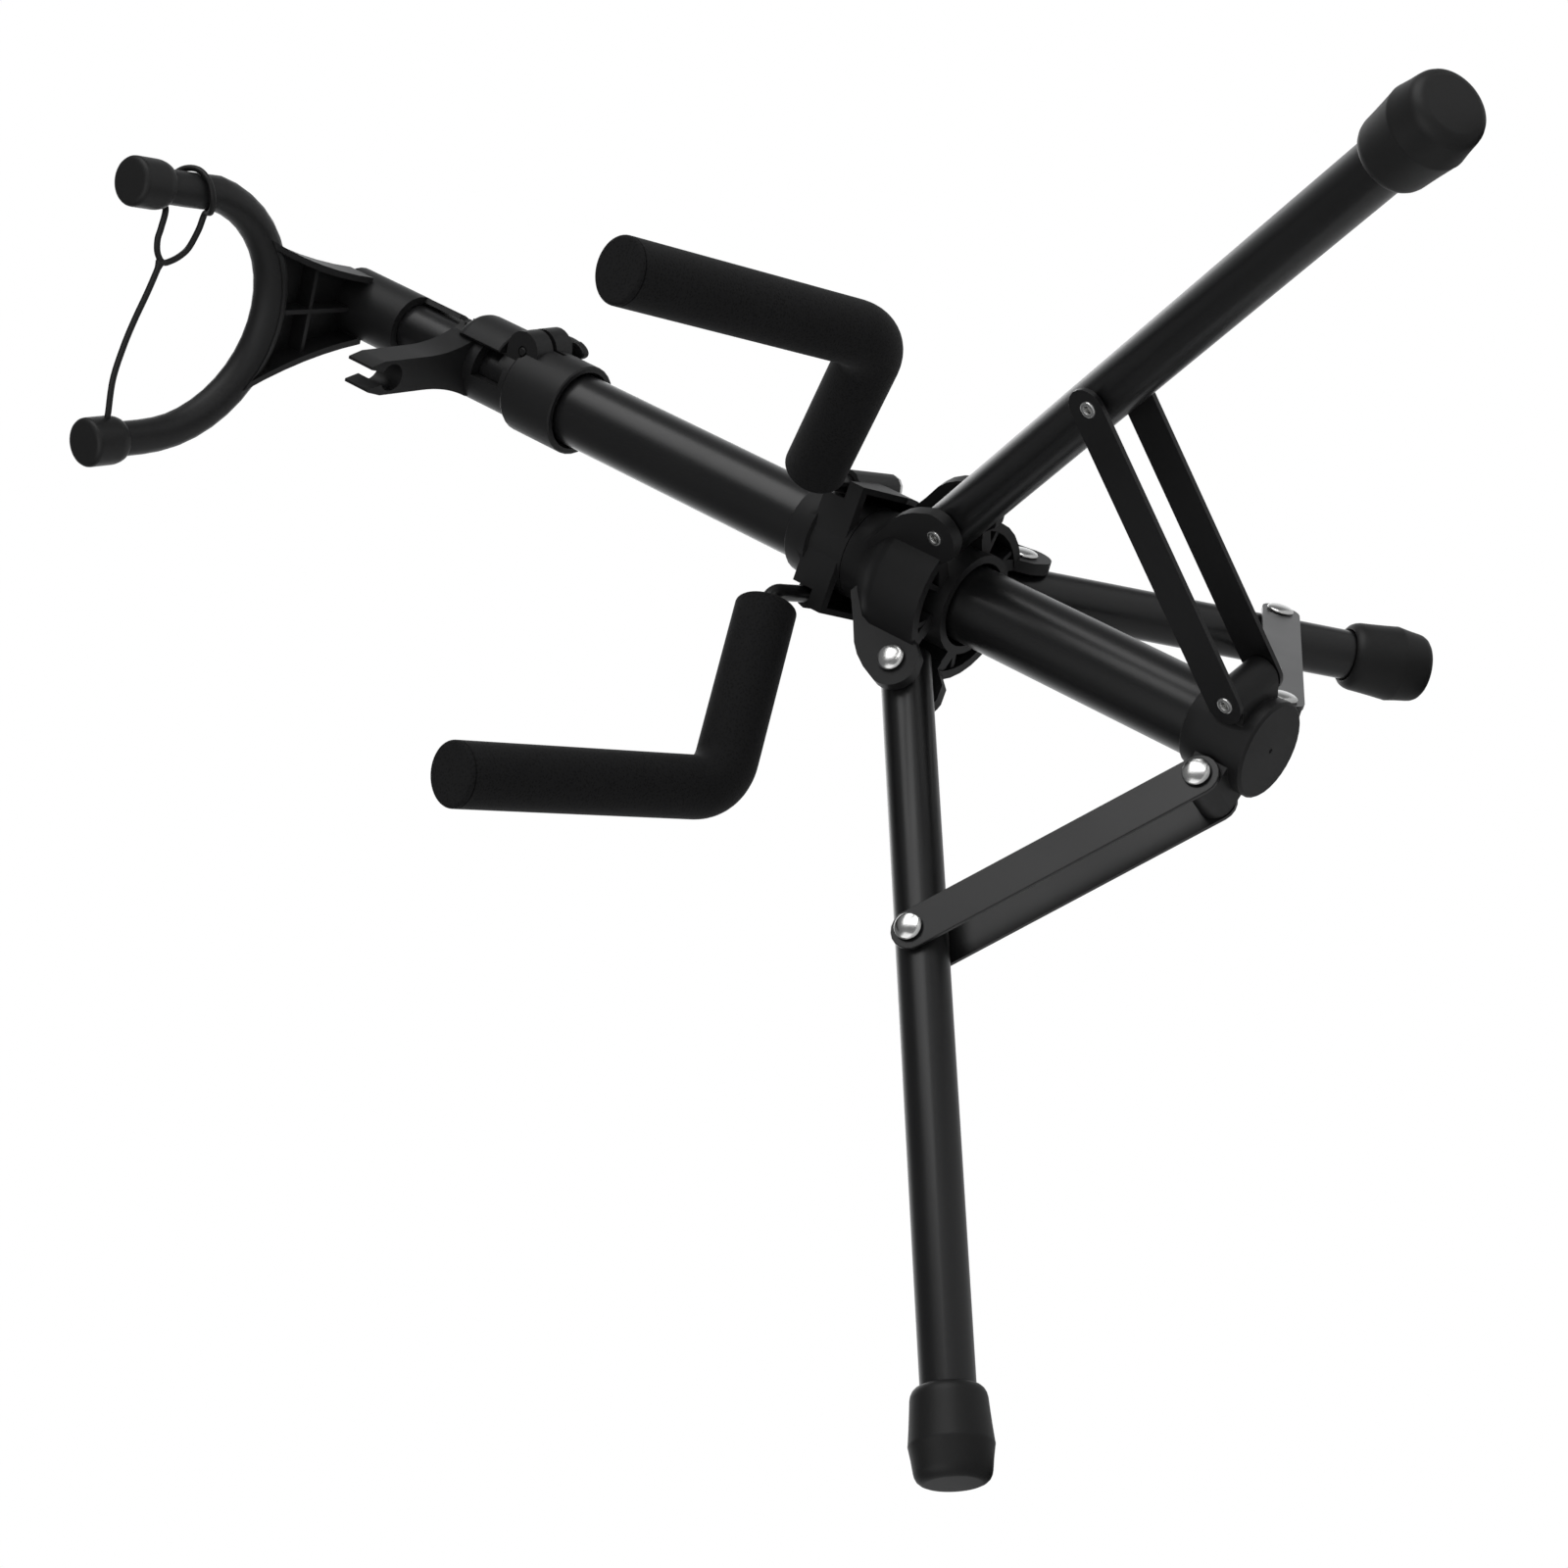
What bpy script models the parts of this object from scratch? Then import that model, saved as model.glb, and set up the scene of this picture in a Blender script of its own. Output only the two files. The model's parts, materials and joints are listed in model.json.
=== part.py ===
"""Folding violin stand: a tripod that folds like an umbrella, two padded cradle arms and a neck yoke.

Sizes are in metres. The stand is drawn in the mast's own frame, with the mast along +Z, its foot at z = 0
and the cradle arms forward along -Y. The whole of it is then leant back until its three feet are level.
"""

import math

import bmesh
import bpy
from mathutils import Matrix, Vector

MM = 0.001
GAP = 0.3 * MM

# Facets: sides of the large turned pieces, of the legs and feet, and of the small ones
LARGE_SIDES = 32
LEG_SIDES = 24
SMALL_SIDES = 12

# Mast tube
MAST_RADIUS = 12.5 * MM
MAST_WALL = 1.2 * MM
MAST_TOP = 303.0 * MM

# Inner tube that sets the yoke's height, and the bush on its foot
INNER_RADIUS = 9.0 * MM
INNER_WALL = 1.0 * MM
INNER_LENGTH = 245.6 * MM
BUSH_LENGTH = 12.0 * MM
BUSH_STEM = 8.0 * MM

# Base collar on the mast's foot
COLLAR_RADIUS = 15.5 * MM
COLLAR_RIM_RADIUS = 14.2 * MM
COLLAR_HEIGHT = 23.0 * MM
COLLAR_FLOOR = 2.4 * MM
BARREL_RADIUS = 6.0 * MM
GATE_RADIUS = 0.7 * MM
GATE_DEPTH = 0.5 * MM

# Fold linkage: hub pivots, strut pivots on the collar, and where the struts meet the legs
HUB_PIVOT_REACH = 30.4 * MM
HUB_PIVOT_HEIGHT = 118.8 * MM
BASE_PIVOT_REACH = 18.7 * MM
BASE_PIVOT_HEIGHT = 10.4 * MM
LEG_SPREAD = math.radians(51.05)
STRUT_AT = 90.2 * MM
FRONT_LEG_TURN = math.radians(60.0)
REAR_LEG_TURN = math.radians(3.7)
FRONT_LEG_REACH = 255.3 * MM
REAR_LEG_REACH = 144.5 * MM
LEG_RADIUS = 8.1 * MM
LEG_WALL = 1.1 * MM
LEG_HEEL = 7.0 * MM

# Strut bars, with room for the leg to shift sideways as the linkage folds
BAR_WIDTH = 12.6 * MM
BAR_THICKNESS = 1.5 * MM
BAR_CLEARANCE = 0.95 * MM
FOLD_SLACK = 1.6 * MM

# Rivets
RIVET_RADIUS = 2.0 * MM
RIVET_HEAD_RADIUS = 4.4 * MM
RIVET_HEAD_HEIGHT = 1.5 * MM
RIVET_ROLL_RADIUS = 2.7 * MM
RIVET_ROLL_HEIGHT = 0.7 * MM
RIVET_HOLLOW_RADIUS = 1.1 * MM
RIVET_HOLLOW_DEPTH = 2.0 * MM

# Rubber feet
FOOT_RADIUS = 12.4 * MM
FOOT_TIP_RADIUS = 8.6 * MM
FOOT_COLLAR_RADIUS = 11.2 * MM
FOOT_LENGTH = 27.5 * MM
FOOT_CREASE = 11.0 * MM
FOOT_FLOOR = 5.0 * MM

# Leg hub: sleeve, skirt with its ribs, and the ears of the three clevises
HUB_BORE_RADIUS = 14.0 * MM
HUB_SLEEVE_WALL = 2.7 * MM
HUB_SLEEVE_FOOT = HUB_PIVOT_HEIGHT - 5.8 * MM
HUB_SKIRT_RADIUS = 26.7 * MM
HUB_SKIRT_WALL = 3.0 * MM
HUB_SKIRT_FOOT = HUB_PIVOT_HEIGHT - 2.8 * MM
HUB_SKIRT_TOP = HUB_PIVOT_HEIGHT + 14.7 * MM
HUB_SHOULDER_RADIUS = 18.0 * MM
HUB_SHOULDER_TOP = HUB_PIVOT_HEIGHT + 27.7 * MM
HUB_NECK_RADIUS = 15.6 * MM
HUB_NECK_TOP = HUB_PIVOT_HEIGHT + 36.4 * MM
EAR_THICKNESS = 3.9 * MM
EAR_RADIUS = 8.6 * MM
SLOT_CLEARANCE = 0.5 * MM
RIB_THICKNESS = 1.7 * MM
RIB_TURN = math.radians(17.0)

# Cradle bracket on the hub's neck
CRADLE_TURN = math.radians(3.16)
BRACKET_FRONT = 15.0 * MM
BRACKET_HALF_WIDTH = 21.3 * MM
BRACKET_SIDE_DEPTH = 17.0 * MM
BRACKET_BACK_BULGE = 17.5 * MM
BRACKET_WALL = 2.0 * MM
BRACKET_TOP = HUB_NECK_TOP + 15.3 * MM
BRACKET_FRONT_FOOT = HUB_NECK_TOP + 1.6 * MM
BRACKET_SIDE_FOOT = HUB_NECK_TOP - 5.7 * MM
BRACKET_RIM_RADIUS = 15.2 * MM
BRACKET_RIM_TOP = BRACKET_TOP + 9.0 * MM
BRACKET_BORE_RADIUS = 13.6 * MM
NOTCH_INNER = 15.4 * MM
NOTCH_DEPTH = 8.2 * MM
NOTCH_FOOT = BRACKET_TOP - NOTCH_DEPTH
NOTCH_BACK = 9.0 * MM

# Cradle arms: the rod's bearing in the bracket, its two bends and its foam sleeve
ROD_RADIUS = 2.75 * MM
ROD_SIDE = 18.9 * MM
ROD_HEIGHT = BRACKET_TOP - 3.2 * MM
ROD_BACK = 18.4 * MM
ROD_FRONT = 29.3 * MM
CORNER_SPREAD = 53.9 * MM
CORNER_FORWARD = 34.9 * MM
CORNER_FALL = 30.2 * MM
TIP_SPREAD = 2.7 * MM
TIP_FORWARD = 103.2 * MM
TIP_RISE = 18.6 * MM
ROD_BEND = Vector((ROD_SIDE, -ROD_FRONT, ROD_HEIGHT))
ARM_CORNER = ROD_BEND + Vector((CORNER_SPREAD, -CORNER_FORWARD, -CORNER_FALL))
ARM_TIP = ARM_CORNER + Vector((TIP_SPREAD, -TIP_FORWARD, TIP_RISE))
ROD_BEND_RADIUS = 9.0 * MM
ARM_BEND_RADIUS = 17.0 * MM
BOSS_RADIUS = 4.7 * MM
BOSS_BACK = 14.8 * MM
CLIP_RADIUS = 4.4 * MM
CLIP_THICKNESS = 1.4 * MM
FOAM_RADIUS = 9.75 * MM
FOAM_START = 9.0 * MM
FOAM_CRUSH = 10.0 * MM
FOAM_BORE_SPARE = 0.4 * MM

# Height clamp on the mast's head
CLAMP_TURN = math.radians(-7.5)
CLAMP_OVERLAP = 17.5 * MM
CLAMP_CROWN = 6.0 * MM
CLAMP_FOOT = MAST_TOP - CLAMP_OVERLAP
CLAMP_RADIUS = 15.8 * MM
CLAMP_SHOULDER = MAST_TOP + CLAMP_CROWN
CLAMP_LIP_RADIUS = 13.7 * MM
CLAMP_LIP_DEPTH = 3.0 * MM
RING_RADIUS = 13.0 * MM
RING_HEIGHT = 33.0 * MM
RING_TOP = CLAMP_SHOULDER + RING_HEIGHT
EAR_CENTRE_X = 13.6 * MM
EAR_CENTRE_Z = CLAMP_SHOULDER - 0.4 * MM
CLAMP_EAR_RADIUS = 7.1 * MM
CLAMP_EAR_HALF = 8.6 * MM
HOOD_SIDE = 17.3 * MM
HOOD_LENGTH = 22.5 * MM
HOOD_TOP = RING_TOP - 2.5 * MM
HOOD_FOOT = HOOD_TOP - HOOD_LENGTH
HOOD_HALF = 5.6 * MM
HOOD_ROUND = 4.5 * MM
SPLIT_HALF = 0.9 * MM
SPLIT_DEPTH = 12.0 * MM
SPLIT_FOOT = CLAMP_SHOULDER - SPLIT_DEPTH
WINDOW_LEFT = -0.6 * MM
WINDOW_RIGHT = 6.4 * MM
WINDOW_HEIGHT = 13.0 * MM
WINDOW_FOOT = CLAMP_SHOULDER + 4.0 * MM
WINDOW_TOP = WINDOW_FOOT + WINDOW_HEIGHT

# Clamp screw and nut
SCREW_RADIUS = 1.7 * MM
SCREW_HUB_RADIUS = 4.2 * MM
SCREW_HUB_LENGTH = 8.7 * MM
SPOT_FACE_DEPTH = 0.1 * MM
WING_REACH = 15.3 * MM
WING_NEAR = 15.9 * MM
WING_FAR = 23.2 * MM
WING_THICKNESS = 2.8 * MM
WING_ANGLE = math.radians(88.0)
NUT_RADIUS = 3.4 * MM
NUT_THICKNESS = 2.6 * MM

# Bow clip, moulded with the clamp's ring
BOW_ARM_DEPTH = 11.8 * MM
BOW_ARM_FOOT = RING_TOP - BOW_ARM_DEPTH
BOW_ARM_ROOT_HALF = 10.4 * MM
BOW_ARM_HALF = 6.0 * MM
BOW_BORE_RADIUS = 4.8 * MM
BOW_BORE_REACH = 46.5 * MM
BOW_MOUTH_HALF = 2.2 * MM
BOW_TIP_REACH = 56.5 * MM
BOW_TIP_HALF = 3.5 * MM

# Neck yoke, raised above the clamp's ring
YOKE_TURN = math.radians(-5.17)
YOKE_LIFT = 7.5 * MM
TONGUE_FOOT = RING_TOP + YOKE_LIFT
TONGUE_LENGTH = 17.5 * MM
SOCKET_RADIUS = 12.0 * MM
SOCKET_LENGTH = 32.3 * MM
SOCKET_FOOT = TONGUE_FOOT + TONGUE_LENGTH
SOCKET_TOP = SOCKET_FOOT + SOCKET_LENGTH
SOCKET_CEILING = 3.4 * MM
TONGUE_HALF = 4.6 * MM
TONGUE_TURN = math.radians(35.0)
YOKE_BAR_RADIUS = 5.95 * MM
YOKE_HALF_SPAN = 43.8 * MM
YOKE_DEPTH = 47.8 * MM
YOKE_CENTRE_REACH = 94.3 * MM
YOKE_HEIGHT = SOCKET_TOP - 6.1 * MM
YOKE_BAR_RUN = 16.7 * MM
YOKE_BAR_END = YOKE_CENTRE_REACH + YOKE_BAR_RUN
WEB_HALF_AT_BAR = 27.0 * MM
WEB_WALL = 2.0 * MM
WEB_TOP = SOCKET_TOP - 0.5 * MM
WEB_PLATE = 2.6 * MM
WEB_DEPTH = 12.0 * MM
WEB_SKIRT_FOOT = WEB_TOP - WEB_DEPTH
WEB_RIB_FOOT = WEB_SKIRT_FOOT + 2.2 * MM
WEB_RIB_THICKNESS = 1.6 * MM
WEB_CROSS_RIB_REACH = 30.0 * MM

# Rubber caps on the yoke's ends
CAP_RADIUS = 9.25 * MM
CAP_END_WALL = 3.7 * MM
CAP_TIP_REACH = YOKE_BAR_END + GAP + CAP_END_WALL
CAP_LENGTH = 18.0 * MM
CAP_EDGE = 1.6 * MM
CAP_SHOULDER = 2.2 * MM

# Rubber neck strap across the yoke's mouth
STRAP_RADIUS = 1.4 * MM
STRAP_SIDES = 2
STRAP_SEAT = 2.2 * MM
STRAP_BEHIND_TIP = 6.0 * MM
LOOP_ROUND = 1.6 * MM

COLLECTION = bpy.data.collections.new("violin_stand")
CUTTERS = bpy.data.collections.new("violin_stand_cutters")


def clear_scene():
    """Removes the startup objects."""
    for obj in list(bpy.data.objects):
        bpy.data.objects.remove(obj, do_unlink=True)
    bpy.context.scene.collection.children.link(COLLECTION)
    bpy.context.scene.collection.children.link(CUTTERS)


def finish(name, colour, roughness, metallic):
    """A Principled material with one plain colour."""
    material = bpy.data.materials.new(name)
    material.use_nodes = True
    shader = material.node_tree.nodes["Principled BSDF"]
    shader.inputs["Base Color"].default_value = (*colour, 1.0)
    shader.inputs["Roughness"].default_value = roughness
    shader.inputs["Metallic"].default_value = metallic
    material.diffuse_color = (*colour, 1.0)
    return material


def painted_steel(name):
    return finish(name, (0.012, 0.012, 0.013), 0.32, 0.0)


def black_plastic(name):
    return finish(name, (0.016, 0.016, 0.017), 0.5, 0.0)


def black_rubber(name):
    return finish(name, (0.014, 0.014, 0.014), 0.62, 0.0)


def black_foam(name):
    return finish(name, (0.02, 0.02, 0.021), 0.85, 0.0)


def bright_zinc(name):
    return finish(name, (0.78, 0.78, 0.77), 0.22, 1.0)


def empty(name, parent, matrix=None):
    """A helper that carries a group of pieces, at a joint's axis or at a turned frame."""
    obj = bpy.data.objects.new(name, None)
    obj.empty_display_size = 10 * MM
    COLLECTION.objects.link(obj)
    obj.parent = parent
    if matrix is not None:
        obj.matrix_local = matrix
    return obj


def node(name, mesh, parent, make_finish, matrix=None):
    """One visible piece, with its own material."""
    obj = bpy.data.objects.new(name, mesh)
    COLLECTION.objects.link(obj)
    obj.parent = parent
    if matrix is not None:
        obj.matrix_local = matrix
    mesh.name = name
    mesh.materials.clear()
    mesh.materials.append(make_finish(name))
    mesh.shade_smooth()
    mesh.set_sharp_from_angle(angle=math.radians(32.0))
    return obj


def combine(target, mesh, operation, matrix=None):
    """Adds the mesh to the piece, or cuts it away, with a Boolean. It sits in the piece's own coordinates."""
    tool = bpy.data.objects.new(f"{target.name}_tool_{len(target.modifiers)}", mesh)
    CUTTERS.objects.link(tool)
    tool.parent = target
    if matrix is not None:
        tool.matrix_local = matrix
    tool.hide_render = True
    tool.display_type = "WIRE"
    boolean = target.modifiers.new(tool.name, "BOOLEAN")
    boolean.operation = operation
    boolean.object = tool


def fuse(target, mesh, matrix=None):
    combine(target, mesh, "UNION", matrix)


def cut(target, mesh, matrix=None):
    combine(target, mesh, "DIFFERENCE", matrix)


def baked(obj, flat_poles=False):
    """The evaluated mesh of a helper object, welded. Flat poles turn a fan at the axis into one face."""
    bpy.context.scene.collection.objects.link(obj)
    bpy.context.view_layer.update()
    graph = bpy.context.evaluated_depsgraph_get()
    mesh = bpy.data.meshes.new_from_object(obj.evaluated_get(graph))
    bpy.data.objects.remove(obj, do_unlink=True)
    shape = bmesh.new()
    shape.from_mesh(mesh)
    bmesh.ops.remove_doubles(shape, verts=shape.verts, dist=0.001 * MM)
    if flat_poles:
        poles = [vertex for vertex in shape.verts if vertex.co.xy.length < 0.01 * MM]
        bmesh.ops.dissolve_verts(shape, verts=poles)
    shape.to_mesh(mesh)
    shape.free()
    return mesh


def turned(profile, sides, ring=False):
    """A shape turned about Z from (radius, height) points that run down its outer side."""
    mesh = bpy.data.meshes.new("turned")
    points = [(radius, 0.0, height) for radius, height in profile]
    edges = [(index, index + 1) for index in range(len(points) - 1)]
    if ring:
        edges.append((len(points) - 1, 0))
    mesh.from_pydata(points, edges, [])
    obj = bpy.data.objects.new("turned", mesh)
    screw = obj.modifiers.new("Turn", "SCREW")
    screw.axis = "Z"
    screw.steps = sides
    screw.render_steps = sides
    screw.use_merge_vertices = True
    screw.merge_threshold = 0.001 * MM
    return baked(obj, flat_poles=not ring)


def slab(outline, foot, top, holes=()):
    """A flat piece with its outline in XY, between two heights. Holes are further closed outlines."""
    curve = bpy.data.curves.new("slab", "CURVE")
    curve.dimensions = "2D"
    curve.fill_mode = "BOTH"
    curve.extrude = (top - foot) / 2
    for points in (outline, *holes):
        spline = curve.splines.new("POLY")
        spline.points.add(len(points) - 1)
        for point, (x, y) in zip(spline.points, points):
            point.co = (x, y, 0.0, 1.0)
        spline.use_cyclic_u = True
    mesh = baked(bpy.data.objects.new("slab", curve))
    mesh.transform(Matrix.Translation((0.0, 0.0, (top + foot) / 2)))
    return mesh


def wire(points, radius, resolution, cyclic=False, tapers=None):
    """A round bar or tube along a path. Tapers give each point's share of the radius."""
    curve = bpy.data.curves.new("wire", "CURVE")
    curve.dimensions = "3D"
    curve.bevel_depth = radius
    curve.bevel_resolution = resolution
    curve.use_fill_caps = not cyclic
    spline = curve.splines.new("POLY")
    spline.points.add(len(points) - 1)
    for index, place in enumerate(points):
        spline.points[index].co = (*place, 1.0)
        if tapers:
            spline.points[index].radius = tapers[index]
    spline.use_cyclic_u = cyclic
    return baked(bpy.data.objects.new("wire", curve))


def block(low, high):
    """A box between two corners."""
    mesh = bpy.data.meshes.new("block")
    shape = bmesh.new()
    bmesh.ops.create_cube(shape, size=1.0)
    low = Vector(low)
    high = Vector(high)
    size = high - low
    placed = Matrix.Translation((low + high) / 2) @ Matrix.Diagonal((*size, 1.0))
    bmesh.ops.transform(shape, matrix=placed, verts=shape.verts)
    shape.to_mesh(mesh)
    shape.free()
    return mesh


def pin(radius, foot, top, sides):
    """A cylinder, or a prism with few sides, along Z between two heights."""
    mesh = bpy.data.meshes.new("pin")
    shape = bmesh.new()
    bmesh.ops.create_cone(
        shape, cap_ends=True, segments=sides, radius1=radius, radius2=radius, depth=top - foot
    )
    bmesh.ops.translate(shape, vec=(0.0, 0.0, (top + foot) / 2), verts=shape.verts)
    shape.to_mesh(mesh)
    shape.free()
    return mesh


def arc(centre, radius, start, end, count):
    """Points on an arc, from one angle to another in degrees."""
    points = []
    for index in range(count):
        angle = math.radians(start + (end - start) * index / (count - 1))
        points.append((centre[0] + radius * math.cos(angle), centre[1] + radius * math.sin(angle)))
    return points


def circle(centre, radius, sides):
    return arc(centre, radius, 0.0, 360.0 * (sides - 1) / sides, sides)


def rounded_path(corners, radii, steps):
    """A path of straight runs with a round bend at each inner corner."""
    points = [corners[0]]
    for index in range(1, len(corners) - 1):
        corner = corners[index]
        back = (corners[index - 1] - corner).normalized()
        ahead = (corners[index + 1] - corner).normalized()
        half = back.angle(ahead) / 2
        radius = radii[index - 1]
        centre = corner + (back + ahead).normalized() * (radius / math.sin(half))
        first = corner + back * (radius / math.tan(half)) - centre
        last = corner + ahead * (radius / math.tan(half)) - centre
        still = Matrix.Identity(3).to_quaternion()
        turn = first.rotation_difference(last).to_matrix().to_quaternion()
        for step in range(steps + 1):
            points.append(centre + still.slerp(turn, step / steps) @ first)
    points.append(corners[-1])
    return points


def smooth_path(corners, steps, cyclic=False):
    """A smooth curve through points chosen by hand."""
    count = len(corners)
    spans = count if cyclic else count - 1
    path = []
    for span in range(spans):
        if cyclic:
            near = [corners[(span + offset) % count] for offset in (-1, 0, 1, 2)]
        else:
            near = [corners[min(max(span + offset, 0), count - 1)] for offset in (-1, 0, 1, 2)]
        for step in range(steps):
            t = step / steps
            blend = near[1] * 2 + (near[2] - near[0]) * t
            blend += (near[0] * 2 - near[1] * 5 + near[2] * 4 - near[3]) * t**2
            blend += (near[1] * 3 - near[0] - near[2] * 3 + near[3]) * t**3
            path.append(blend / 2)
    if not cyclic:
        path.append(corners[-1])
    return path


def frame_matrix(x_axis, y_axis, z_axis, place):
    matrix = Matrix((x_axis, y_axis, z_axis)).transposed().to_4x4()
    matrix.translation = place
    return matrix


def turned_frame(angle):
    return Matrix.Rotation(angle, 4, "Z")


# A flat outline drawn as (outward, up) stands in the leg's own plane, its thickness across it
def upright(direction):
    across = Vector((-direction.y, direction.x, 0.0))
    return frame_matrix(direction, Vector((0.0, 0.0, 1.0)), -across, Vector())


class Leg:
    """One leg's place: the way it points from the mast, its reach and the side of its rivets' heads."""

    def __init__(self, name, direction, reach, head_side):
        self.name = name
        self.outward = direction
        self.across = Vector((-direction.y, direction.x, 0.0))
        self.reach = reach
        self.head_side = head_side
        up = Vector((0.0, 0.0, 1.0))
        self.hub_pivot = direction * HUB_PIVOT_REACH + up * HUB_PIVOT_HEIGHT
        self.base_pivot = direction * BASE_PIVOT_REACH + up * BASE_PIVOT_HEIGHT
        self.along = direction * math.sin(LEG_SPREAD) - up * math.cos(LEG_SPREAD)
        self.strut_pivot = self.hub_pivot + self.along * STRUT_AT
        self.strut_length = (self.strut_pivot - self.base_pivot).length
        self.strut_along = (self.strut_pivot - self.base_pivot).normalized()


def three_legs():
    sine = math.sin(FRONT_LEG_TURN)
    cosine = math.cos(FRONT_LEG_TURN)
    rear = Vector((math.sin(REAR_LEG_TURN), math.cos(REAR_LEG_TURN), 0.0))
    return [
        Leg("right", Vector((sine, -cosine, 0.0)), FRONT_LEG_REACH, 1),
        Leg("left", Vector((-sine, -cosine, 0.0)), FRONT_LEG_REACH, 1),
        Leg("rear", rear, REAR_LEG_REACH, -1),
    ]


def foot_outline():
    """(radius, distance back from the tip) down the foot's outer side."""
    return [
        (FOOT_TIP_RADIUS, 0.0),
        (FOOT_TIP_RADIUS + 1.6 * MM, 0.7 * MM),
        (FOOT_TIP_RADIUS + 2.6 * MM, 2.6 * MM),
        (FOOT_RADIUS, FOOT_CREASE),
        (FOOT_COLLAR_RADIUS + 0.3 * MM, FOOT_CREASE + 9.0 * MM),
        (FOOT_COLLAR_RADIUS, FOOT_LENGTH - 3.4 * MM),
        (FOOT_COLLAR_RADIUS - 0.8 * MM, FOOT_LENGTH - 1.2 * MM),
        (FOOT_COLLAR_RADIUS - 2.0 * MM, FOOT_LENGTH),
    ]


def lowest(leg, up):
    """The height of a foot's lowest point, measured along the given up direction."""
    along = leg.along.dot(up)
    across = math.sqrt(1.0 - along**2)
    base = leg.hub_pivot.dot(up)
    return min(base + (leg.reach - back) * along - radius * across for radius, back in foot_outline())


def standing_lean(legs):
    """The angle that the mast leans back by when all three feet are on the floor."""
    low = 0.0
    high = math.radians(40.0)
    for _ in range(50):
        lean = (low + high) / 2
        up = Vector((0.0, -math.sin(lean), math.cos(lean)))
        if lowest(legs[0], up) < lowest(legs[2], up):
            low = lean
        else:
            high = lean
    return (low + high) / 2


def build_mast(root):
    foot = COLLAR_FLOOR + GAP
    bore = MAST_RADIUS - MAST_WALL
    ring = [(MAST_RADIUS, MAST_TOP), (MAST_RADIUS, foot), (bore, foot), (bore, MAST_TOP)]
    node("main_tube", turned(ring, LARGE_SIDES, ring=True), root, painted_steel)


def build_base_collar(root, legs):
    outer = [
        (0.0, COLLAR_HEIGHT),
        (COLLAR_RIM_RADIUS, COLLAR_HEIGHT),
        (COLLAR_RADIUS - 0.4 * MM, COLLAR_HEIGHT - 5.0 * MM),
        (COLLAR_RADIUS, 0.8 * MM),
        (COLLAR_RADIUS - 0.8 * MM, 0.0),
        (GATE_RADIUS, 0.0),
        (GATE_RADIUS, GATE_DEPTH),
        (0.0, GATE_DEPTH),
    ]
    collar = node("base_collar", turned(outer, LARGE_SIDES), root, black_plastic)
    half = bar_inner_face() - GAP
    centre = (BASE_PIVOT_REACH, BASE_PIVOT_HEIGHT)
    inner = MAST_RADIUS - 0.6 * MM
    barrel = [(inner, BASE_PIVOT_HEIGHT - BARREL_RADIUS)]
    barrel += arc(centre, BARREL_RADIUS, -90.0, 90.0, 11)
    barrel += [(inner, BASE_PIVOT_HEIGHT + BARREL_RADIUS)]
    for leg in legs:
        fuse(collar, slab(barrel, -half, half), upright(leg.outward))
    bore = pin(MAST_RADIUS + GAP, COLLAR_FLOOR, COLLAR_HEIGHT + 5.0 * MM, LARGE_SIDES)
    cut(collar, bore)
    for leg in legs:
        hole = pin(RIVET_RADIUS + GAP, -2 * half, 2 * half, SMALL_SIDES)
        place = upright(leg.outward) @ Matrix.Translation((*centre, 0.0))
        cut(collar, hole, place)


def bar_inner_face():
    """How far the strut bars' inner faces lie from the leg's middle plane."""
    return LEG_RADIUS + BAR_CLEARANCE


def bar_outer_face():
    return bar_inner_face() + BAR_THICKNESS


def ear_inner_face():
    return LEG_RADIUS + SLOT_CLEARANCE


def rivet(grip):
    """A rivet along Z for parts that reach from -grip to grip, its domed head at +Z."""
    head = grip + GAP + RIVET_HEAD_HEIGHT
    rim = grip + GAP
    foot = -grip - GAP
    end = foot - RIVET_ROLL_HEIGHT
    profile = [
        (0.0, head),
        (RIVET_HEAD_RADIUS * 0.45, head),
        (RIVET_HEAD_RADIUS * 0.85, head - RIVET_HEAD_HEIGHT * 0.45),
        (RIVET_HEAD_RADIUS, head - RIVET_HEAD_HEIGHT * 0.85),
        (RIVET_HEAD_RADIUS * 0.96, rim),
        (RIVET_RADIUS, rim),
        (RIVET_RADIUS, foot),
        (RIVET_ROLL_RADIUS, foot),
        (RIVET_ROLL_RADIUS, foot - RIVET_ROLL_HEIGHT * 0.5),
        (RIVET_ROLL_RADIUS - 0.5 * MM, end),
        (RIVET_HOLLOW_RADIUS, end),
        (RIVET_HOLLOW_RADIUS, end + RIVET_HOLLOW_DEPTH),
        (0.0, end + RIVET_HOLLOW_DEPTH),
    ]
    return turned(profile, SMALL_SIDES)


def rivet_place(leg, along=0.0):
    """Turns a rivet from Z onto the pivot's axis, which is X in a leg's or strut's frame."""
    turn = Matrix.Rotation(math.radians(90.0 * leg.head_side), 4, "Y")
    return Matrix.Translation((0.0, 0.0, along)) @ turn


def bar_mesh(length):
    half = BAR_WIDTH / 2
    outline = arc((0.0, 0.0), half, 90.0, 270.0, 11)
    outline += arc((length, 0.0), half, -90.0, 90.0, 11)
    hole = RIVET_RADIUS + GAP
    holes = [circle((0.0, 0.0), hole, SMALL_SIDES), circle((length, 0.0), hole, SMALL_SIDES)]
    return slab(outline, -BAR_THICKNESS / 2, BAR_THICKNESS / 2, holes)


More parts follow.
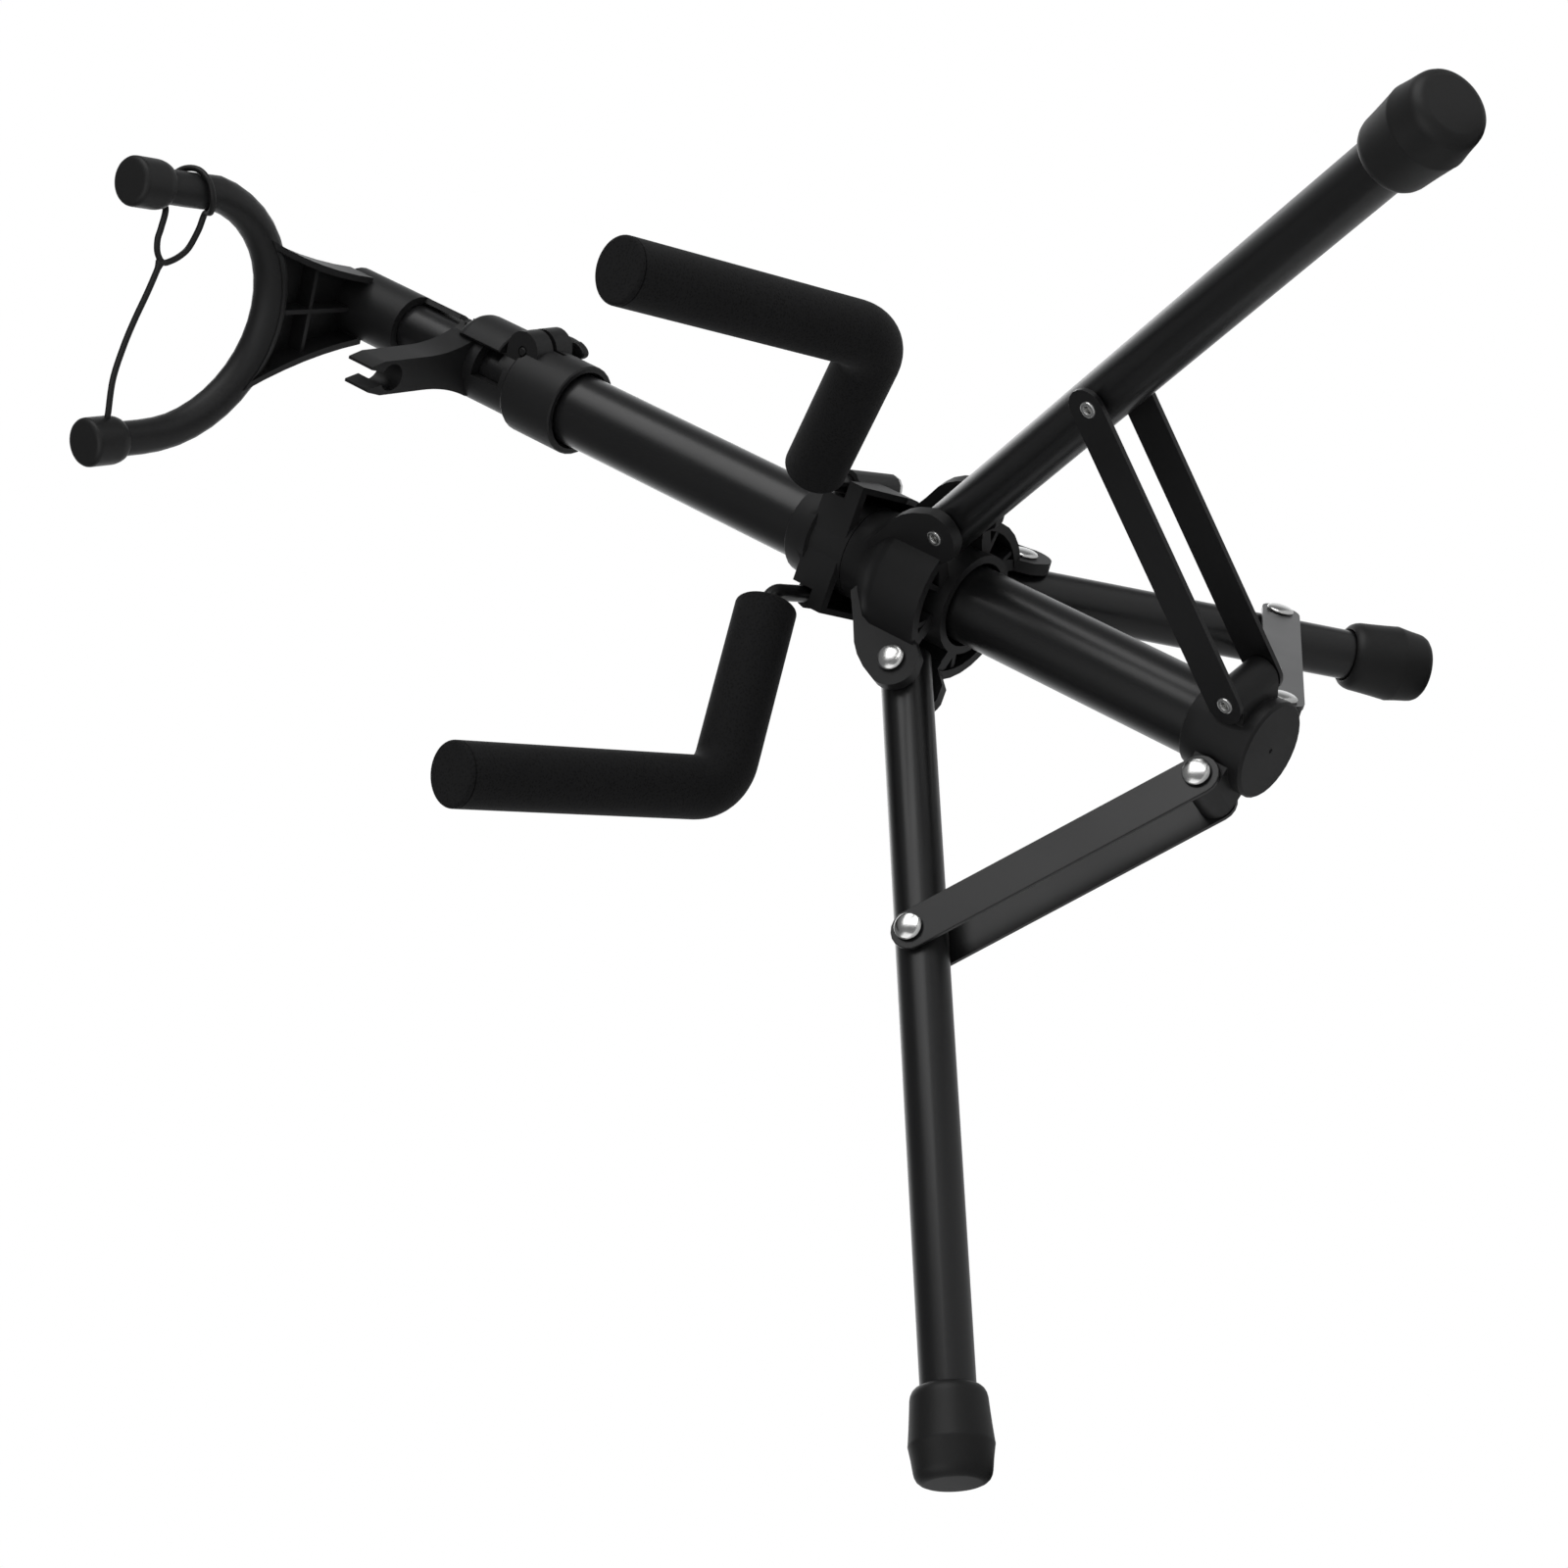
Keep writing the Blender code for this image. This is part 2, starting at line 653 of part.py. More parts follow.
def build_strut(root, leg):
    """Two flat bars from the base collar to the leg, with the rivet that joins them to the leg."""
    depth = leg.strut_along.cross(leg.across)
    axis = frame_matrix(leg.across, depth, leg.strut_along, leg.base_pivot)
    pivot = empty(f"strut_{leg.name}_pivot", root, axis)
    stand_up = Matrix.Rotation(math.radians(-90.0), 4, "Y")
    for side, label in ((1, "a"), (-1, "b")):
        offset = side * (bar_inner_face() + BAR_THICKNESS / 2)
        place = Matrix.Translation((offset, 0.0, 0.0)) @ stand_up
        node(f"strut_bar_{leg.name}_{label}", bar_mesh(leg.strut_length), pivot, painted_steel, place)
    grip = bar_outer_face()
    node(f"rivet_strut_{leg.name}", rivet(grip), pivot, bright_zinc, rivet_place(leg, leg.strut_length))
    collar_rivet = empty(f"base_{leg.name}_axis", root, axis)
    node(f"rivet_base_{leg.name}", rivet(grip), collar_rivet, bright_zinc, rivet_place(leg))


def build_leg(root, leg):
    """The leg's tube and its rubber foot, along Z from the hub's pivot."""
    driven = leg.name == "right"
    lift = STRUT_AT if driven else 0.0
    depth = leg.along.cross(leg.across)
    origin = leg.hub_pivot + leg.along * lift
    pivot = empty(f"leg_{leg.name}_pivot", root, frame_matrix(leg.across, depth, leg.along, origin))
    down = Matrix.Translation((0.0, 0.0, -lift))
    end = leg.reach - FOOT_FLOOR - GAP
    bore = LEG_RADIUS - LEG_WALL
    ring = [(LEG_RADIUS, end), (LEG_RADIUS, -LEG_HEEL), (bore, -LEG_HEEL), (bore, end)]
    tube = node(f"leg_{leg.name}", turned(ring, LEG_SIDES, ring=True), pivot, painted_steel, down)
    for along, radius in ((0.0, RIVET_RADIUS + GAP), (STRUT_AT, RIVET_RADIUS + FOLD_SLACK)):
        hole = pin(radius, -2 * LEG_RADIUS, 2 * LEG_RADIUS, SMALL_SIDES)
        cut(tube, hole, Matrix.Translation((0.0, 0.0, along)) @ Matrix.Rotation(math.pi / 2, 4, "Y"))
    profile = [(0.0, leg.reach)]
    profile += [(radius, leg.reach - back) for radius, back in foot_outline()]
    seat = LEG_RADIUS + GAP
    mouth = leg.reach - FOOT_LENGTH
    profile += [(seat, mouth), (seat, leg.reach - FOOT_FLOOR), (0.0, leg.reach - FOOT_FLOOR)]
    node(f"foot_{leg.name}", turned(profile, LEG_SIDES), pivot, black_rubber, down)


def hub_body():
    """The hub's sleeve and its hollow skirt as one turned ring, open below."""
    sleeve = HUB_BORE_RADIUS + HUB_SLEEVE_WALL
    inside = HUB_SKIRT_RADIUS - HUB_SKIRT_WALL
    profile = [
        (HUB_BORE_RADIUS, HUB_NECK_TOP),
        (HUB_NECK_RADIUS, HUB_NECK_TOP),
        (HUB_NECK_RADIUS + 0.6 * MM, HUB_NECK_TOP - 5.0 * MM),
        (HUB_SHOULDER_RADIUS, HUB_SHOULDER_TOP),
        (HUB_SHOULDER_RADIUS + 4.2 * MM, HUB_SHOULDER_TOP - 5.2 * MM),
        (HUB_SKIRT_RADIUS - 1.0 * MM, HUB_SKIRT_TOP + 3.6 * MM),
        (HUB_SKIRT_RADIUS, HUB_SKIRT_TOP),
        (HUB_SKIRT_RADIUS, HUB_SKIRT_FOOT),
        (inside, HUB_SKIRT_FOOT),
        (inside, HUB_SKIRT_TOP - 2.0 * MM),
        (inside - 1.2 * MM, HUB_SKIRT_TOP + 1.0 * MM),
        (sleeve + 1.6 * MM, HUB_SHOULDER_TOP - 6.5 * MM),
        (sleeve, HUB_SHOULDER_TOP - 6.5 * MM),
        (sleeve, HUB_SLEEVE_FOOT),
        (HUB_BORE_RADIUS, HUB_SLEEVE_FOOT),
    ]
    return turned(profile, LARGE_SIDES, ring=True)


def ear_outline():
    """A clevis ear as (outward, up): its slope from the shoulder, then round the pivot."""
    inner = HUB_BORE_RADIUS - 1.8 * MM
    below = HUB_PIVOT_HEIGHT - EAR_RADIUS
    outline = [
        (inner, HUB_SKIRT_FOOT + 0.4 * MM),
        (inner, HUB_SHOULDER_TOP - 2.0 * MM),
        (HUB_SHOULDER_RADIUS - 1.2 * MM, HUB_SHOULDER_TOP - 0.5 * MM),
        (HUB_PIVOT_REACH - 5.6 * MM, HUB_PIVOT_HEIGHT + 20.3 * MM),
        (HUB_PIVOT_REACH + 0.6 * MM, HUB_PIVOT_HEIGHT + 15.4 * MM),
        (HUB_PIVOT_REACH + 3.6 * MM, HUB_PIVOT_HEIGHT + 12.0 * MM),
        (HUB_PIVOT_REACH + 6.2 * MM, HUB_PIVOT_HEIGHT + 7.6 * MM),
    ]
    outline += arc((HUB_PIVOT_REACH, HUB_PIVOT_HEIGHT), EAR_RADIUS, 12.0, -90.0, 9)
    outline += [
        (HUB_PIVOT_REACH - 5.0 * MM, below + 1.4 * MM),
        (HUB_PIVOT_REACH - 9.0 * MM, HUB_SKIRT_FOOT + 0.4 * MM),
    ]
    return outline[::-1]


def build_hub(hub, legs):
    """The moulded hub that slides on the mast, with a clevis for each leg and ribs beneath."""
    body = node("leg_hub", hub_body(), hub, black_plastic)
    inner = HUB_BORE_RADIUS + 1.0 * MM
    outer = HUB_SKIRT_RADIUS - HUB_SKIRT_WALL / 2
    low = HUB_SKIRT_FOOT + 0.6 * MM
    for leg in legs:
        # Ribs stand in the middle of the sector opposite each leg.
        for turn in (math.pi - RIB_TURN, math.pi + RIB_TURN):
            rib = block((inner, -RIB_THICKNESS / 2, low), (outer, RIB_THICKNESS / 2, HUB_SKIRT_TOP))
            angle = math.atan2(leg.outward.y, leg.outward.x) + turn
            fuse(body, rib, Matrix.Rotation(angle, 4, "Z"))
    face = ear_inner_face()
    sink = 0.4 * MM
    for leg in legs:
        for side in (1, -1):
            near = side * (face - sink)
            far = side * (face + EAR_THICKNESS)
            fuse(body, slab(ear_outline(), min(near, far), max(near, far)), upright(leg.outward))
    heel = math.hypot(LEG_RADIUS, LEG_HEEL) + SLOT_CLEARANCE
    for leg in legs:
        low = (HUB_PIVOT_REACH - heel, HUB_SLEEVE_FOOT - 15.0 * MM, -face)
        high = (HUB_PIVOT_REACH + 20.0 * MM, HUB_NECK_TOP, face)
        cut(body, block(low, high), upright(leg.outward))
        hole = pin(RIVET_RADIUS + GAP, -25.0 * MM, 25.0 * MM, SMALL_SIDES)
        place = upright(leg.outward) @ Matrix.Translation((HUB_PIVOT_REACH, HUB_PIVOT_HEIGHT, 0.0))
        cut(body, hole, place)
        depth = leg.along.cross(leg.across)
        axis = frame_matrix(leg.across, depth, leg.along, leg.hub_pivot)
        carrier = empty(f"hub_{leg.name}_axis", hub, axis)
        grip = face + EAR_THICKNESS
        node(f"rivet_hub_{leg.name}", rivet(grip), carrier, bright_zinc, rivet_place(leg))


def tray_outline(inset):
    """The bracket's outline from above: a flat front, straight sides and a bowed back."""
    half = BRACKET_HALF_WIDTH - inset
    front = -BRACKET_FRONT + inset
    side_end = -BRACKET_FRONT + BRACKET_SIDE_DEPTH
    bulge = BRACKET_BACK_BULGE - inset
    outline = [(-half, front), (half, front)]
    for index in range(13):
        angle = math.pi * index / 12
        outline.append((half * math.cos(angle), side_end + bulge * math.sin(angle)))
    return outline


def build_bracket(cradle):
    """The cradle bracket: an open tray turned upside down, its collar, and bearings for the two rods."""
    outline = tray_outline(0.0)
    bracket = node("cradle_bracket", slab(outline, BRACKET_SIDE_FOOT, BRACKET_TOP), cradle, black_plastic)
    hollow_foot = BRACKET_SIDE_FOOT - 5.0 * MM
    cut(bracket, slab(tray_outline(BRACKET_WALL), hollow_foot, BRACKET_TOP - BRACKET_WALL - 0.4 * MM))
    fall = BRACKET_FRONT_FOOT - BRACKET_SIDE_FOOT
    slope = math.atan2(fall, BRACKET_SIDE_DEPTH)
    below = block((-60.0 * MM, -30.0 * MM, -30.0 * MM), (60.0 * MM, BRACKET_SIDE_DEPTH, 0.0))
    place = Matrix.Translation((0.0, -BRACKET_FRONT, BRACKET_FRONT_FOOT))
    cut(bracket, below, place @ Matrix.Rotation(-slope, 4, "X"))
    neck = [
        (0.0, BRACKET_RIM_TOP),
        (BRACKET_RIM_RADIUS - 0.5 * MM, BRACKET_RIM_TOP),
        (BRACKET_RIM_RADIUS, BRACKET_RIM_TOP - 0.6 * MM),
        (BRACKET_RIM_RADIUS + 0.9 * MM, BRACKET_TOP + 3.0 * MM),
        (BRACKET_RIM_RADIUS + 1.8 * MM, BRACKET_TOP - 0.7 * MM),
        (HUB_NECK_RADIUS, BRACKET_TOP - 1.4 * MM),
        (HUB_NECK_RADIUS, HUB_NECK_TOP + GAP),
        (0.0, HUB_NECK_TOP + GAP),
    ]
    fuse(bracket, turned(neck, LARGE_SIDES))
    lie_back = Matrix.Rotation(math.radians(-90.0), 4, "X")
    for side in (1, -1):
        place = Matrix.Translation((side * ROD_SIDE, 0.0, ROD_HEIGHT)) @ lie_back
        boss_front = -BRACKET_FRONT + 1.0 * MM
        fuse(bracket, pin(BOSS_RADIUS, boss_front, BOSS_BACK, SMALL_SIDES), place)
    bore = pin(BRACKET_BORE_RADIUS, HUB_NECK_TOP - 9.0 * MM, BRACKET_RIM_TOP + 9.0 * MM, LARGE_SIDES)
    cut(bracket, bore)
    front_over = -BRACKET_FRONT - 8.0 * MM
    for side in (1, -1):
        ends = sorted((side * NOTCH_INNER, side * 2 * BRACKET_HALF_WIDTH))
        notch = block((ends[0], front_over, NOTCH_FOOT), (ends[1], -NOTCH_BACK, BRACKET_TOP + 9.0 * MM))
        cut(bracket, notch)
        place = Matrix.Translation((side * ROD_SIDE, 0.0, ROD_HEIGHT)) @ lie_back
        cut(bracket, pin(ROD_RADIUS + GAP, -2 * BRACKET_FRONT, 2 * BOSS_BACK, SMALL_SIDES), place)


def mirrored(point, side):
    return Vector((side * point.x, point.y, point.z))


def foam_tapers(path):
    """The dome at each end of a foam sleeve, as each point's share of the radius."""
    ends = (path[0], path[-1])
    tapers = []
    for point in path:
        away = min((point - end).length for end in ends)
        if away < FOAM_RADIUS:
            away_share = 1.0 - away / FOAM_RADIUS
            tapers.append(max(math.sqrt(1.0 - away_share**2), 0.42))
        else:
            tapers.append(1.0)
    return tapers


def foam_path(side):
    """The sleeve's path from just past the rod's first bend to the tip, closer spaced at its domed ends."""
    corner = mirrored(ARM_CORNER, side)
    tip = mirrored(ARM_TIP, side)
    bend = mirrored(ROD_BEND, side)
    run_in = (corner - bend).normalized()
    run_out = (tip - corner).normalized()
    start = bend + run_in * FOAM_START
    steps = (0.07, 0.3, 0.65, 1.0)
    path = [start] + [start + run_in * (FOAM_RADIUS * share) for share in steps]
    path += rounded_path([path[-1], corner, tip], [ARM_BEND_RADIUS], 7)[1:-1]
    path += [tip - run_out * (FOAM_RADIUS * share) for share in reversed(steps)]
    path.append(tip)
    return path


def build_arm(cradle, side, label):
    """A bent steel rod that turns in the bracket, its foam sleeve and the clip on its back end."""
    hinge = Vector((side * ROD_SIDE, 0.0, ROD_HEIGHT))
    axis = empty(f"arm_{label}_axis", cradle, Matrix.Translation(hinge))
    home = Matrix.Translation(-hinge)
    back = Vector((side * ROD_SIDE, ROD_BACK, ROD_HEIGHT))
    bend = mirrored(ROD_BEND, side)
    corner = mirrored(ARM_CORNER, side)
    tip = mirrored(ARM_TIP, side)
    rod_end = tip - (tip - corner).normalized() * FOAM_CRUSH
    path = rounded_path([back, bend, corner, rod_end], [ROD_BEND_RADIUS, ARM_BEND_RADIUS], 7)
    node(f"arm_rod_{label}", wire(path, ROD_RADIUS, 3), axis, painted_steel, home)
    sleeve = foam_path(side)
    foam_mesh = wire(sleeve, FOAM_RADIUS, 6, tapers=foam_tapers(sleeve))
    foam = node(f"arm_foam_{label}", foam_mesh, axis, black_foam, home)
    bore_start = bend + (corner - bend).normalized() * (FOAM_START / 2)
    bore_end = rod_end + (tip - corner).normalized() * GAP
    bore_path = rounded_path([bore_start, corner, bore_end], [ARM_BEND_RADIUS], 7)
    cut(foam, wire(bore_path, ROD_RADIUS + FOAM_BORE_SPARE, 3))
    clip = BOSS_BACK + GAP
    ring = [
        (CLIP_RADIUS, clip + CLIP_THICKNESS),
        (CLIP_RADIUS, clip),
        (ROD_RADIUS + GAP, clip),
        (ROD_RADIUS + GAP, clip + CLIP_THICKNESS),
    ]
    lie_back = Matrix.Rotation(math.radians(-90.0), 4, "X")
    node(f"rod_clip_{label}", turned(ring, SMALL_SIDES, ring=True), axis, bright_zinc, lie_back)


def bow_arm_outline():
    """The bow clip from above: a flared root, a parallel front and a C-shaped mouth."""
    right = [(BOW_ARM_ROOT_HALF, -4.0 * MM), (BOW_ARM_ROOT_HALF, -9.0 * MM)]
    flare_start = 9.0 * MM
    flare_end = 31.0 * MM
    for index in range(1, 8):
        share = index / 8
        ease = (1.0 - share) ** 2.2
        half = BOW_ARM_HALF + (BOW_ARM_ROOT_HALF - BOW_ARM_HALF) * ease
        right.append((half, -(flare_start + (flare_end - flare_start) * share)))
    shoulder = BOW_BORE_REACH + 4.3 * MM
    right += [(BOW_ARM_HALF, -flare_end), (BOW_ARM_HALF, -shoulder)]
    right += [(BOW_TIP_HALF + 1.0 * MM, -BOW_TIP_REACH), (BOW_TIP_HALF, -BOW_TIP_REACH)]
    mouth = math.degrees(math.asin(BOW_MOUTH_HALF / BOW_BORE_RADIUS))
    bore = arc((0.0, -BOW_BORE_REACH), BOW_BORE_RADIUS, -90.0 + mouth, 270.0 - mouth, 19)
    left = [(-x, y) for x, y in reversed(right)]
    return right + bore + left


def build_clamp(clamp):
    """The height clamp: its sleeve on the mast, the split ring with ears and hood, and the bow clip."""
    profile = [
        (0.0, RING_TOP),
        (RING_RADIUS, RING_TOP),
        (RING_RADIUS, CLAMP_SHOULDER + 1.2 * MM),
        (CLAMP_RADIUS - 0.6 * MM, CLAMP_SHOULDER),
        (CLAMP_RADIUS, CLAMP_SHOULDER - 1.0 * MM),
        (CLAMP_RADIUS, CLAMP_FOOT + 0.5 * MM),
        (CLAMP_RADIUS - 0.5 * MM, CLAMP_FOOT),
        (0.0, CLAMP_FOOT),
    ]
    body = node("height_clamp", turned(profile, LARGE_SIDES), clamp, black_plastic)
    fuse(body, slab(bow_arm_outline(), BOW_ARM_FOOT, RING_TOP - GAP))
    # Ears and hood are drawn as (outward along X, up) and stand in the XZ plane.
    stand = Matrix.Rotation(math.radians(90.0), 4, "X")
    root = RING_RADIUS - 6.0 * MM
    ear = [(root, EAR_CENTRE_Z - CLAMP_EAR_RADIUS)]
    ear += arc((EAR_CENTRE_X, EAR_CENTRE_Z), CLAMP_EAR_RADIUS, -90.0, 90.0, 13)
    ear += [(root, EAR_CENTRE_Z + CLAMP_EAR_RADIUS)]
    fuse(body, slab(ear, -CLAMP_EAR_HALF, CLAMP_EAR_HALF), stand)
    hood = [(root, HOOD_FOOT), (HOOD_SIDE, HOOD_FOOT)]
    hood += arc((HOOD_SIDE - HOOD_ROUND, HOOD_TOP - HOOD_ROUND), HOOD_ROUND, 0.0, 90.0, 7)
    hood += [(root, HOOD_TOP)]
    fuse(body, slab(hood, -HOOD_HALF, HOOD_HALF), stand)
    bore = [
        (INNER_RADIUS + GAP, RING_TOP + 9.0 * MM),
        (INNER_RADIUS + GAP, MAST_TOP + GAP),
        (MAST_RADIUS + GAP, MAST_TOP + GAP),
        (MAST_RADIUS + GAP, CLAMP_FOOT + CLAMP_LIP_DEPTH),
        (CLAMP_LIP_RADIUS, CLAMP_FOOT + CLAMP_LIP_DEPTH - 1.2 * MM),
        (CLAMP_LIP_RADIUS, CLAMP_FOOT - 9.0 * MM),
    ]
    bore = [(0.0, RING_TOP + 9.0 * MM)] + bore + [(0.0, CLAMP_FOOT - 9.0 * MM)]
    cut(body, turned(bore, LARGE_SIDES))
    half = SPLIT_HALF
    cut(body, block((2.0 * MM, -half, SPLIT_FOOT), (40.0 * MM, half, RING_TOP + 9.0 * MM)))
    window = block((WINDOW_LEFT, -20.0 * MM, WINDOW_FOOT), (WINDOW_RIGHT, -INNER_RADIUS / 2, WINDOW_TOP))
    cut(body, window)
    across = Matrix.Translation((EAR_CENTRE_X, 0.0, EAR_CENTRE_Z)) @ stand.inverted()
    cut(body, pin(SCREW_RADIUS + GAP, -30.0 * MM, 30.0 * MM, SMALL_SIDES), across)
    nut_near = -half - GAP
    nut_far = nut_near - NUT_THICKNESS
    cut(body, pin(NUT_RADIUS + GAP, nut_far - GAP, 0.0, 6), across)
    spot_foot = CLAMP_EAR_HALF - SPOT_FACE_DEPTH
    cut(body, pin(SCREW_HUB_RADIUS + 0.8 * MM, spot_foot, 3 * CLAMP_EAR_HALF, SMALL_SIDES), across)
    axis = empty("clamp_screw_axis", clamp, across)
    nut_hole = circle((0.0, 0.0), SCREW_RADIUS + GAP, SMALL_SIDES)
    nut = slab(circle((0.0, 0.0), NUT_RADIUS, 6), nut_far, nut_near, [nut_hole])
    node("clamp_nut", nut, axis, bright_zinc, Matrix.Rotation(math.radians(30.0), 4, "Z"))
    build_screw(axis)


def build_screw(axis):
    """The wing screw along Z, its tip toward -Z and its wings past the far ear."""
    seat = CLAMP_EAR_HALF - SPOT_FACE_DEPTH + GAP
    top = seat + SCREW_HUB_LENGTH
    tip = -CLAMP_EAR_HALF - 0.4 * MM
    profile = [
        (0.0, top),
        (SCREW_HUB_RADIUS - 1.0 * MM, top),
        (SCREW_HUB_RADIUS, top - 1.5 * MM),
        (SCREW_HUB_RADIUS, seat),
        (SCREW_RADIUS, seat),
        (SCREW_RADIUS, tip + 0.6 * MM),
        (SCREW_RADIUS - 0.5 * MM, tip),
        (0.0, tip),
    ]
    screw = node("clamp_screw", turned(profile, SMALL_SIDES), axis, black_plastic)
    # Each wing rises from the hub and turns away from the clamp, so that it clears the sleeve.
    wing = [
        (SCREW_HUB_RADIUS - 1.0 * MM, WING_NEAR - 3.0 * MM),
        (WING_REACH * 0.59, WING_NEAR),
        (WING_REACH * 0.87, WING_NEAR + 0.8 * MM),
        (WING_REACH, WING_NEAR + 3.0 * MM),
        (WING_REACH - 0.2 * MM, WING_FAR - 2.2 * MM),
        (WING_REACH - 2.4 * MM, WING_FAR),
        (WING_REACH - 5.6 * MM, WING_FAR - 0.5 * MM),
        (WING_REACH * 0.4, WING_FAR - 3.6 * MM),
        (WING_REACH * 0.2, top - 0.4 * MM),
    ]
    wing += [(-across, along) for across, along in reversed(wing)]
    # The outline's second coordinate lies along the screw, and its first along the wings.
    stand = Matrix.Rotation(math.radians(90.0), 4, "X")
    spin = Matrix.Rotation(-WING_ANGLE, 4, "Z")
    fuse(screw, slab(wing, -WING_THICKNESS / 2, WING_THICKNESS / 2), spin @ stand)


def build_height_tube(slide):
    """The inner tube and the bush that guides its foot in the mast."""
    top = SOCKET_TOP - SOCKET_CEILING - GAP
    foot = top - INNER_LENGTH
    bore = INNER_RADIUS - INNER_WALL
    ring = [(INNER_RADIUS, top), (INNER_RADIUS, foot), (bore, foot), (bore, top)]
    node("upper_tube", turned(ring, LARGE_SIDES, ring=True), slide, painted_steel)
    shoulder = foot - GAP
    stem = bore - GAP
    collar = MAST_RADIUS - MAST_WALL - GAP
    profile = [
        (0.0, shoulder + BUSH_STEM),
        (stem, shoulder + BUSH_STEM),
        (stem, shoulder),
        (collar, shoulder),
        (collar, shoulder - BUSH_LENGTH),
        (0.0, shoulder - BUSH_LENGTH),
    ]
    node("guide_bush", turned(profile, LEG_SIDES), slide, black_plastic)


def yoke_centre_line():
    """The bar's centre line: half an ellipse round the neck, and a straight run to each end."""
    path = [Vector((YOKE_HALF_SPAN, -YOKE_BAR_END, YOKE_HEIGHT))]
    count = 22
    for index in range(count + 1):
        angle = math.pi * index / count
        x = YOKE_HALF_SPAN * math.cos(angle)
        y = -YOKE_CENTRE_REACH + YOKE_DEPTH * math.sin(angle)
        path.append(Vector((x, y, YOKE_HEIGHT)))
    path.append(Vector((-YOKE_HALF_SPAN, -YOKE_BAR_END, YOKE_HEIGHT)))
    return path


def web_outline(inset):
    """The web from above: concave sides that widen from the socket to the bar."""
    half_root = SOCKET_RADIUS + 0.3 * MM - inset
    half_bar = WEB_HALF_AT_BAR - inset * 1.6
    ratio = half_bar / YOKE_HALF_SPAN
    bar_y = -YOKE_CENTRE_REACH + YOKE_DEPTH * math.sqrt(1.0 - ratio**2)
    root_y = -5.2 * MM - inset
    right = []
    for index in range(7):
        share = index / 6
        half = half_root + (half_bar - half_root) * (0.45 * share + 0.55 * share**2)
        right.append((half, root_y + (bar_y - root_y) * share))
    front = []
    for index in range(1, 8):
        x = half_bar * (1.0 - 2.0 * index / 8)
        y = -YOKE_CENTRE_REACH + YOKE_DEPTH * math.sqrt(1.0 - (x / YOKE_HALF_SPAN) ** 2)
        front.append((x, y + inset * 0.5))
    left = [(-x, y) for x, y in reversed(right)]
    return (right + front + left)[::-1]


def build_yoke(yoke):
    """The neck yoke: its socket and tongue, the bent bar and the ribbed web between them."""
    profile = [
        (0.0, SOCKET_TOP),
        (SOCKET_RADIUS - 0.6 * MM, SOCKET_TOP),
        (SOCKET_RADIUS, SOCKET_TOP - 0.8 * MM),
        (SOCKET_RADIUS, SOCKET_FOOT),
        (0.0, SOCKET_FOOT),
    ]
    body = node("yoke", turned(profile, LARGE_SIDES), yoke, black_plastic)
    tongue_ring = [
        (SOCKET_RADIUS - 0.05 * MM, SOCKET_FOOT + 3.0 * MM),
        (SOCKET_RADIUS - 0.05 * MM, TONGUE_FOOT),
        (SOCKET_RADIUS - 1.8 * MM, TONGUE_FOOT),
        (SOCKET_RADIUS - 1.8 * MM, SOCKET_FOOT + 3.0 * MM),
    ]
    tongue = bpy.data.objects.new("tongue", turned(tongue_ring, LARGE_SIDES, ring=True))
    keep_mesh = block((0.0, -TONGUE_HALF, TONGUE_FOOT - 1.0 * MM), (30.0 * MM, TONGUE_HALF, SOCKET_TOP))
    keep = bpy.data.objects.new("keep", keep_mesh)
    CUTTERS.objects.link(keep)
    trim = tongue.modifiers.new("Trim", "BOOLEAN")
    trim.operation = "INTERSECT"
    trim.object = keep
    fuse(body, baked(tongue), turned_frame(TONGUE_TURN))
    bpy.data.objects.remove(keep, do_unlink=True)
    plate_foot = WEB_TOP - WEB_PLATE
    fuse(body, slab(web_outline(0.0), plate_foot, WEB_TOP))
    frame_holes = [web_outline(WEB_WALL)]
    fuse(body, slab(web_outline(0.0), WEB_SKIRT_FOOT, plate_foot + 0.5 * MM, frame_holes))
    half = WEB_RIB_THICKNESS / 2
    rib_top = plate_foot + 0.7 * MM
    bar_back = YOKE_CENTRE_REACH - YOKE_DEPTH
    fuse(body, block((-half, -bar_back, WEB_RIB_FOOT), (half, -SOCKET_RADIUS + 1.0 * MM, rib_top)))
    cross = WEB_HALF_AT_BAR * 0.62
    low = (-cross, -WEB_CROSS_RIB_REACH - half, WEB_RIB_FOOT + 0.7 * MM)
    high = (cross, -WEB_CROSS_RIB_REACH + half, rib_top + 0.2 * MM)
    fuse(body, block(low, high))
    fuse(body, wire(yoke_centre_line(), YOKE_BAR_RADIUS, 6))
    bore = pin(INNER_RADIUS + GAP, TONGUE_FOOT - 9.0 * MM, SOCKET_TOP - SOCKET_CEILING, LARGE_SIDES)
    cut(body, bore)
    for side, label in ((1, "right"), (-1, "left")):
        build_cap(yoke, side, label)


